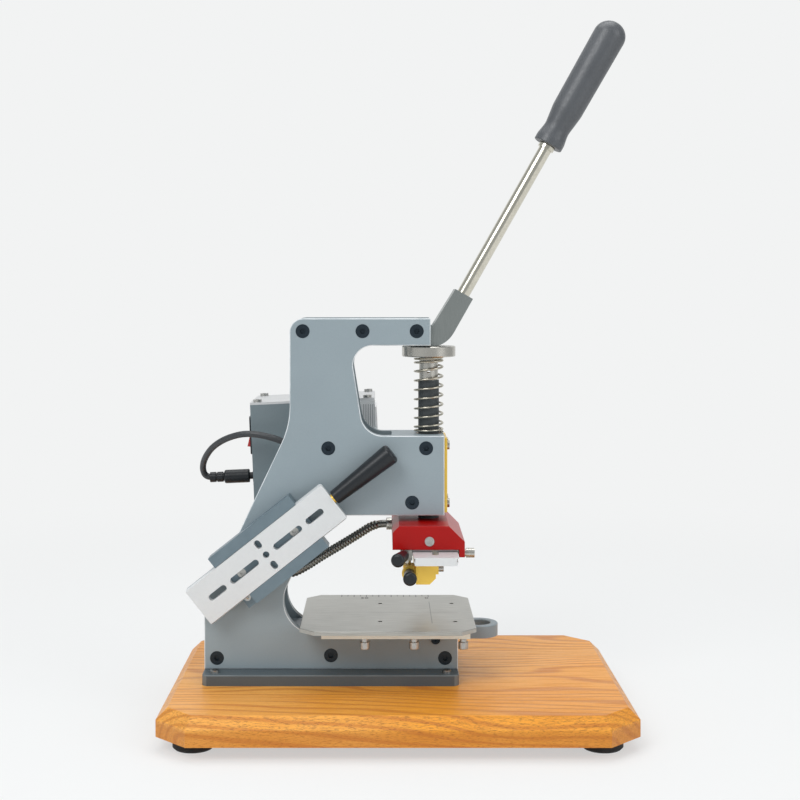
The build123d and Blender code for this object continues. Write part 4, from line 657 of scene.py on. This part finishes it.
def box_mask(tree, low, high):
    """1 inside the box between two corners given in mm, 0 outside."""
    split = tree.nodes.new("ShaderNodeSeparateXYZ")
    tree.links.new(object_place(tree), split.inputs[0])
    mask = 1.0
    for axis in range(3):
        above = math_node(tree, "GREATER_THAN", split.outputs[axis], low[axis] * MM)
        below = math_node(tree, "LESS_THAN", split.outputs[axis], high[axis] * MM)
        mask = math_node(tree, "MULTIPLY", mask, math_node(tree, "MULTIPLY", above, below))
    return mask, split


def darken_where(material, mask, colour):
    """Lays a colour over the material's own where the mask is 1."""
    tree = material.node_tree
    base = tree.nodes["Principled BSDF"].inputs["Base Color"]
    tree.links.new(blend_colour(tree, mask, base.links[0].from_socket, colour), base)


def hatch_cover(material):
    """Thin upright vent lines on the near side of the box's front cap."""
    tree = material.node_tree
    mask, split = box_mask(tree, VENT_LOW, VENT_HIGH)
    near = math_node(tree, "PINGPONG", split.outputs["X"], VENT_HALF_PITCH)
    lines = math_node(tree, "LESS_THAN", near, VENT_LINE_WIDTH)
    darken_where(material, math_node(tree, "MULTIPLY", mask, lines), srgb(150, 152, 154))


hatch_cover(FINISHES["cover"])
darken_where(
    FINISHES["fixing"],
    box_mask(FINISHES["fixing"].node_tree, DARK_FIXING_LOW, DARK_FIXING_HIGH)[0],
    srgb(40, 46, 50),
)

NODE_FINISH = {
    "frame_paint": "near_side_plate far_side_plate guide_block base_block",
    "bar_paint": "table_slide_bar",
    "base_paint": "base_plate",
    "wood": "base_board",
    "rubber": "rubber_feet",
    "screw": "frame_screws",
    "fixing": "fixing_screws",
    "small_screw": (
        "housing_screws ball_plunger type_side_screw "
        "table_thumb_screw_rear table_thumb_screw_middle table_thumb_screw_front"
    ),
    "steel": (
        "frame_spacers pivot_pin press_shaft pressure_wheel hose_gland die_lock_screw "
        "plate_clamp_stud heater_cartridges"
    ),
    "bronze": "guide_bushes",
    "sleeve": "shaft_sleeve",
    "ground_steel": "clamp_rail",
    "ivory_plate": "table_underplate",
    "table": "table_plate",
    "cast_arm": "lever_arm",
    "chrome": "lever_rod",
    "spring": "press_spring",
    "grip": "lever_grip",
    "red": "head_housing",
    "mica": "insulation_board",
    "alloy": "heater_block die_plate spare_plate",
    "brass": "type_holder front_cover_plate spare_handle_stud",
    "black": (
        "plate_clamp_knob type_clamp_knob spare_handle cable_clamp "
        "button_set button_down button_up power_inlet dc_socket dc_plug"
    ),
    "rail": "storage_bracket",
    "box": "control_box",
    "lid": "control_box_lid",
    "cover": "control_box_front temperature_controller",
    "red_plastic": "rocker_switch",
    "sheath": "heater_hose",
    "jacket": "dc_lead",
}


def dress(piece, finish_name):
    """Gives a piece its finish in place of what it had."""
    piece.data.materials.clear()
    piece.data.materials.append(FINISHES[finish_name])


for finish_name, members in NODE_FINISH.items():
    for member in members.split():
        dress(nodes[member], finish_name)


# ============================================================ spring
def spring_line(samples_per_turn=28):
    """Middle of the wire: a helix whose pitch opens smoothly after one closed turn at each end."""
    turn = np.linspace(0, SPRING_TURNS, int(SPRING_TURNS * samples_per_turn) + 1)
    bottom = spring_low.z + WIRE_RADIUS
    rise = spring_high.z - spring_low.z - 2 * WIRE_RADIUS
    opened_turns = SPRING_TURNS - 3
    extra = (rise - SPRING_END_PITCH * SPRING_TURNS) / opened_turns

    def ramp_area(t):
        """Area under the smooth step from 0 to t."""
        return t**3 - t**4 / 2

    left = SPRING_TURNS - turn
    opened = np.select(
        [turn <= 1, turn <= 2, left >= 2, left >= 1],
        [0 * turn, ramp_area(turn - 1), turn - 1.5, opened_turns - ramp_area(left - 1)],
        opened_turns + 0 * turn,
    )
    coil_radius = (spring_high.x - spring_low.x) / 2 - WIRE_RADIUS
    angle = 2 * pi * turn
    return np.stack(
        [
            press_x + coil_radius * np.cos(angle),
            coil_radius * np.sin(angle),
            bottom + SPRING_END_PITCH * turn + extra * opened,
        ],
        axis=-1,
    )


def make_spring():
    """The wound press spring."""
    line = spring_line()
    piece = tube("wound_press_spring", line, np.full(len(line), WIRE_RADIUS), (0, 0, 1), around=12)
    dress(piece, "spring")
    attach(piece, "frame")
    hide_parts("press_spring")
    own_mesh(piece)
    return piece


make_spring()


# ============================================================ heater hose
def make_hose():
    """Ribbed hose: its radius swells on each rib as a rounded wave along its line."""
    line = route_points(HOSE_ROUTE)
    length = path_length(line)
    path, along = even_points(line, int(length / (HOSE_RIB_PITCH / 8)))
    plain = HOSE_DIAMETER
    wave = 0.5 - 0.5 * np.cos(2 * pi * (along - plain) / HOSE_RIB_PITCH)
    ribbed = (along > plain) & (along < length - plain)
    swell = np.where(ribbed, wave**0.6, 0)
    radii = HOSE_ROOT / 2 + (HOSE_DIAMETER - HOSE_ROOT) / 2 * swell
    piece = tube("ribbed_heater_hose", path, radii, (0, 1, 0), around=24)
    dress(piece, "sheath")
    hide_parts("heater_hose")
    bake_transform(piece)
    return piece


make_hose()


# ============================================================ low-voltage lead
def make_lead():
    """Round lead from the clamp between the side plates to the plug in the box's rear face."""
    length = path_length(route_points(LEAD_ROUTE))
    piece = route_curve("low_voltage_lead", LEAD_ROUTE, LEAD_DIAMETER)
    piece.data.materials.append(FINISHES["jacket"])
    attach(piece, "frame")
    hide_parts("dc_lead")
    return piece


make_lead()


# ============================================================ small pieces of the table and head
def make_rule_number(text, x, y):
    """A plain figure of the table's rule, as a thin mark on its top face."""
    font = bpy.data.curves.new("figure", "FONT")
    font.body = text
    font.size = FIGURE_HEIGHT
    font.align_x = "CENTER"
    font.align_y = "CENTER"
    font.extrude = FIGURE_DEPTH
    holder = bpy.data.objects.new("figure", font)
    bpy.context.scene.collection.objects.link(holder)
    bpy.context.view_layer.update()
    mesh = bpy.data.meshes.new_from_object(
        holder.evaluated_get(bpy.context.evaluated_depsgraph_get())
    )
    bpy.data.objects.remove(holder)
    bpy.data.curves.remove(font)
    mesh.transform(Matrix.Translation((x, y, table_high.z + FIGURE_DEPTH)))
    mesh.name = f"rule_figure_{text}"
    piece = bpy.data.objects.new(mesh.name, mesh)
    bpy.context.scene.collection.objects.link(piece)
    dress(piece, "mark")
    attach(piece, "table")


for figure in (0, 50):
    make_rule_number(str(figure), RULE_ZERO - (figure + FIGURE_OFFSET_MM) * MM, FIGURE_Y)


def make_clamp_post():
    """Steel pin under the type plate, beside the clamp knobs."""
    z = np.array([0.0, 0.15, 0.9, 1.0]) * (POST_HIGH - POST_LOW) + POST_LOW
    path = np.stack([np.full(4, POST_X), np.full(4, POST_Y), z], axis=-1)
    radii = [POST_TIP_RADIUS] + [POST_RADIUS] * 3
    piece = tube("clamp_post", path, radii, (1, 0, 0), around=24)
    dress(piece, "steel")
    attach(piece, "die")


make_clamp_post()


# ============================================================ floor, light, camera
def make_floor():
    """Seamless floor and backdrop: flat, then a quarter round, then upright."""
    bend, back, top = 0.9, 1.6, 2.6
    flat = np.stack([np.linspace(-2.4, back, 12), np.zeros(12)], axis=-1)
    angle = np.linspace(0, pi / 2, 24)[1:]
    round_part = np.stack([back + bend * np.sin(angle), bend - bend * np.cos(angle)], axis=-1)
    upright = np.stack([np.full(4, back + bend), np.linspace(bend, top, 5)[1:]], axis=-1)
    profile = np.vstack([flat, round_part, upright])
    x = np.linspace(-3.0, 3.0, 3)
    points = np.stack(
        [
            np.broadcast_to(x[None, :], (len(profile), 3)),
            np.broadcast_to(profile[:, :1], (len(profile), 3)),
            np.broadcast_to(profile[:, 1:], (len(profile), 3)),
        ],
        axis=-1,
    ).reshape(-1, 3)
    floor = new_mesh("studio_floor", points, grid_faces(len(profile), 3).tolist())
    material, tree, shader = new_material(
        "studio_floor", Base_Color=srgb(240, 241, 241), Roughness=0.9, Specular_IOR_Level=0.0
    )
    glow = tree.nodes.new("ShaderNodeEmission")
    glow.inputs["Color"].default_value = BACKDROP
    rays = tree.nodes.new("ShaderNodeLightPath")
    away = tree.nodes.new("ShaderNodeVectorMath")
    away.operation = "LENGTH"
    tree.links.new(object_place(tree), away.inputs[0])
    share = ramp(tree, away.outputs["Value"], 0.25, 1.1, 0.6, 1.0)
    seen = math_node(tree, "ADD", rays.outputs["Is Camera Ray"], rays.outputs["Is Glossy Ray"])
    seen = math_node(tree, "MULTIPLY", seen, share, clamp=True)
    mix = tree.nodes.new("ShaderNodeMixShader")
    tree.links.new(seen, mix.inputs[0])
    tree.links.new(shader.outputs[0], mix.inputs[1])
    tree.links.new(glow.outputs[0], mix.inputs[2])
    surface = tree.nodes["Material Output"].inputs["Surface"]
    tree.links.new(mix.outputs[0], surface)
    floor.data.materials.append(material)
    return floor


def make_light(name, place, aim, size, power):
    """A soft area lamp."""
    lamp = bpy.data.lights.new(name, "AREA")
    lamp.shape = "RECTANGLE"
    lamp.size, lamp.size_y = size
    lamp.energy = power
    holder = bpy.data.objects.new(name, lamp)
    holder.location = place
    holder.rotation_mode = "QUATERNION"
    holder.rotation_quaternion = (Vector(aim) - Vector(place)).to_track_quat("-Z", "Y")
    bpy.context.scene.collection.objects.link(holder)
    return holder


def make_world(colour, strength):
    """Even pale surroundings."""
    world = bpy.data.worlds.new("studio")
    world.use_nodes = True
    tree = world.node_tree
    background = tree.nodes["Background"]
    background.inputs["Color"].default_value = colour
    background.inputs["Strength"].default_value = strength
    seen = tree.nodes.new("ShaderNodeBackground")
    seen.inputs["Color"].default_value = BACKDROP
    rays = tree.nodes.new("ShaderNodeLightPath")
    mix = tree.nodes.new("ShaderNodeMixShader")
    tree.links.new(rays.outputs["Is Camera Ray"], mix.inputs[0])
    tree.links.new(background.outputs[0], mix.inputs[1])
    tree.links.new(seen.outputs[0], mix.inputs[2])
    tree.links.new(mix.outputs[0], tree.nodes["World Output"].inputs["Surface"])
    bpy.context.scene.world = world


def make_camera():
    """The photograph's view: level with the head of the press, aimed a little down."""
    camera = bpy.data.cameras.new("camera")
    camera.lens = LENS
    camera.sensor_width = SENSOR_WIDTH
    camera.shift_x, camera.shift_y = SHIFT
    holder = bpy.data.objects.new("camera", camera)
    holder.location = EYE
    holder.rotation_euler = (radians(90 - PITCH), 0, 0)
    bpy.context.scene.collection.objects.link(holder)
    bpy.context.scene.camera = holder


make_floor()
make_world(srgb(236, 240, 242), 0.52)
make_light("key", place=(-0.9, -1.3, 1.5), aim=(0, 0, 0.2), size=(1.1, 1.1), power=19)
make_light("fill", place=(1.3, -0.9, 0.9), aim=(0, 0, 0.2), size=(1.0, 1.2), power=7)
make_light("top", place=(0.0, 0.2, 1.7), aim=(0, 0, 0.1), size=(1.4, 1.0), power=11)
make_camera()
bpy.context.scene.view_settings.view_transform = "Standard"
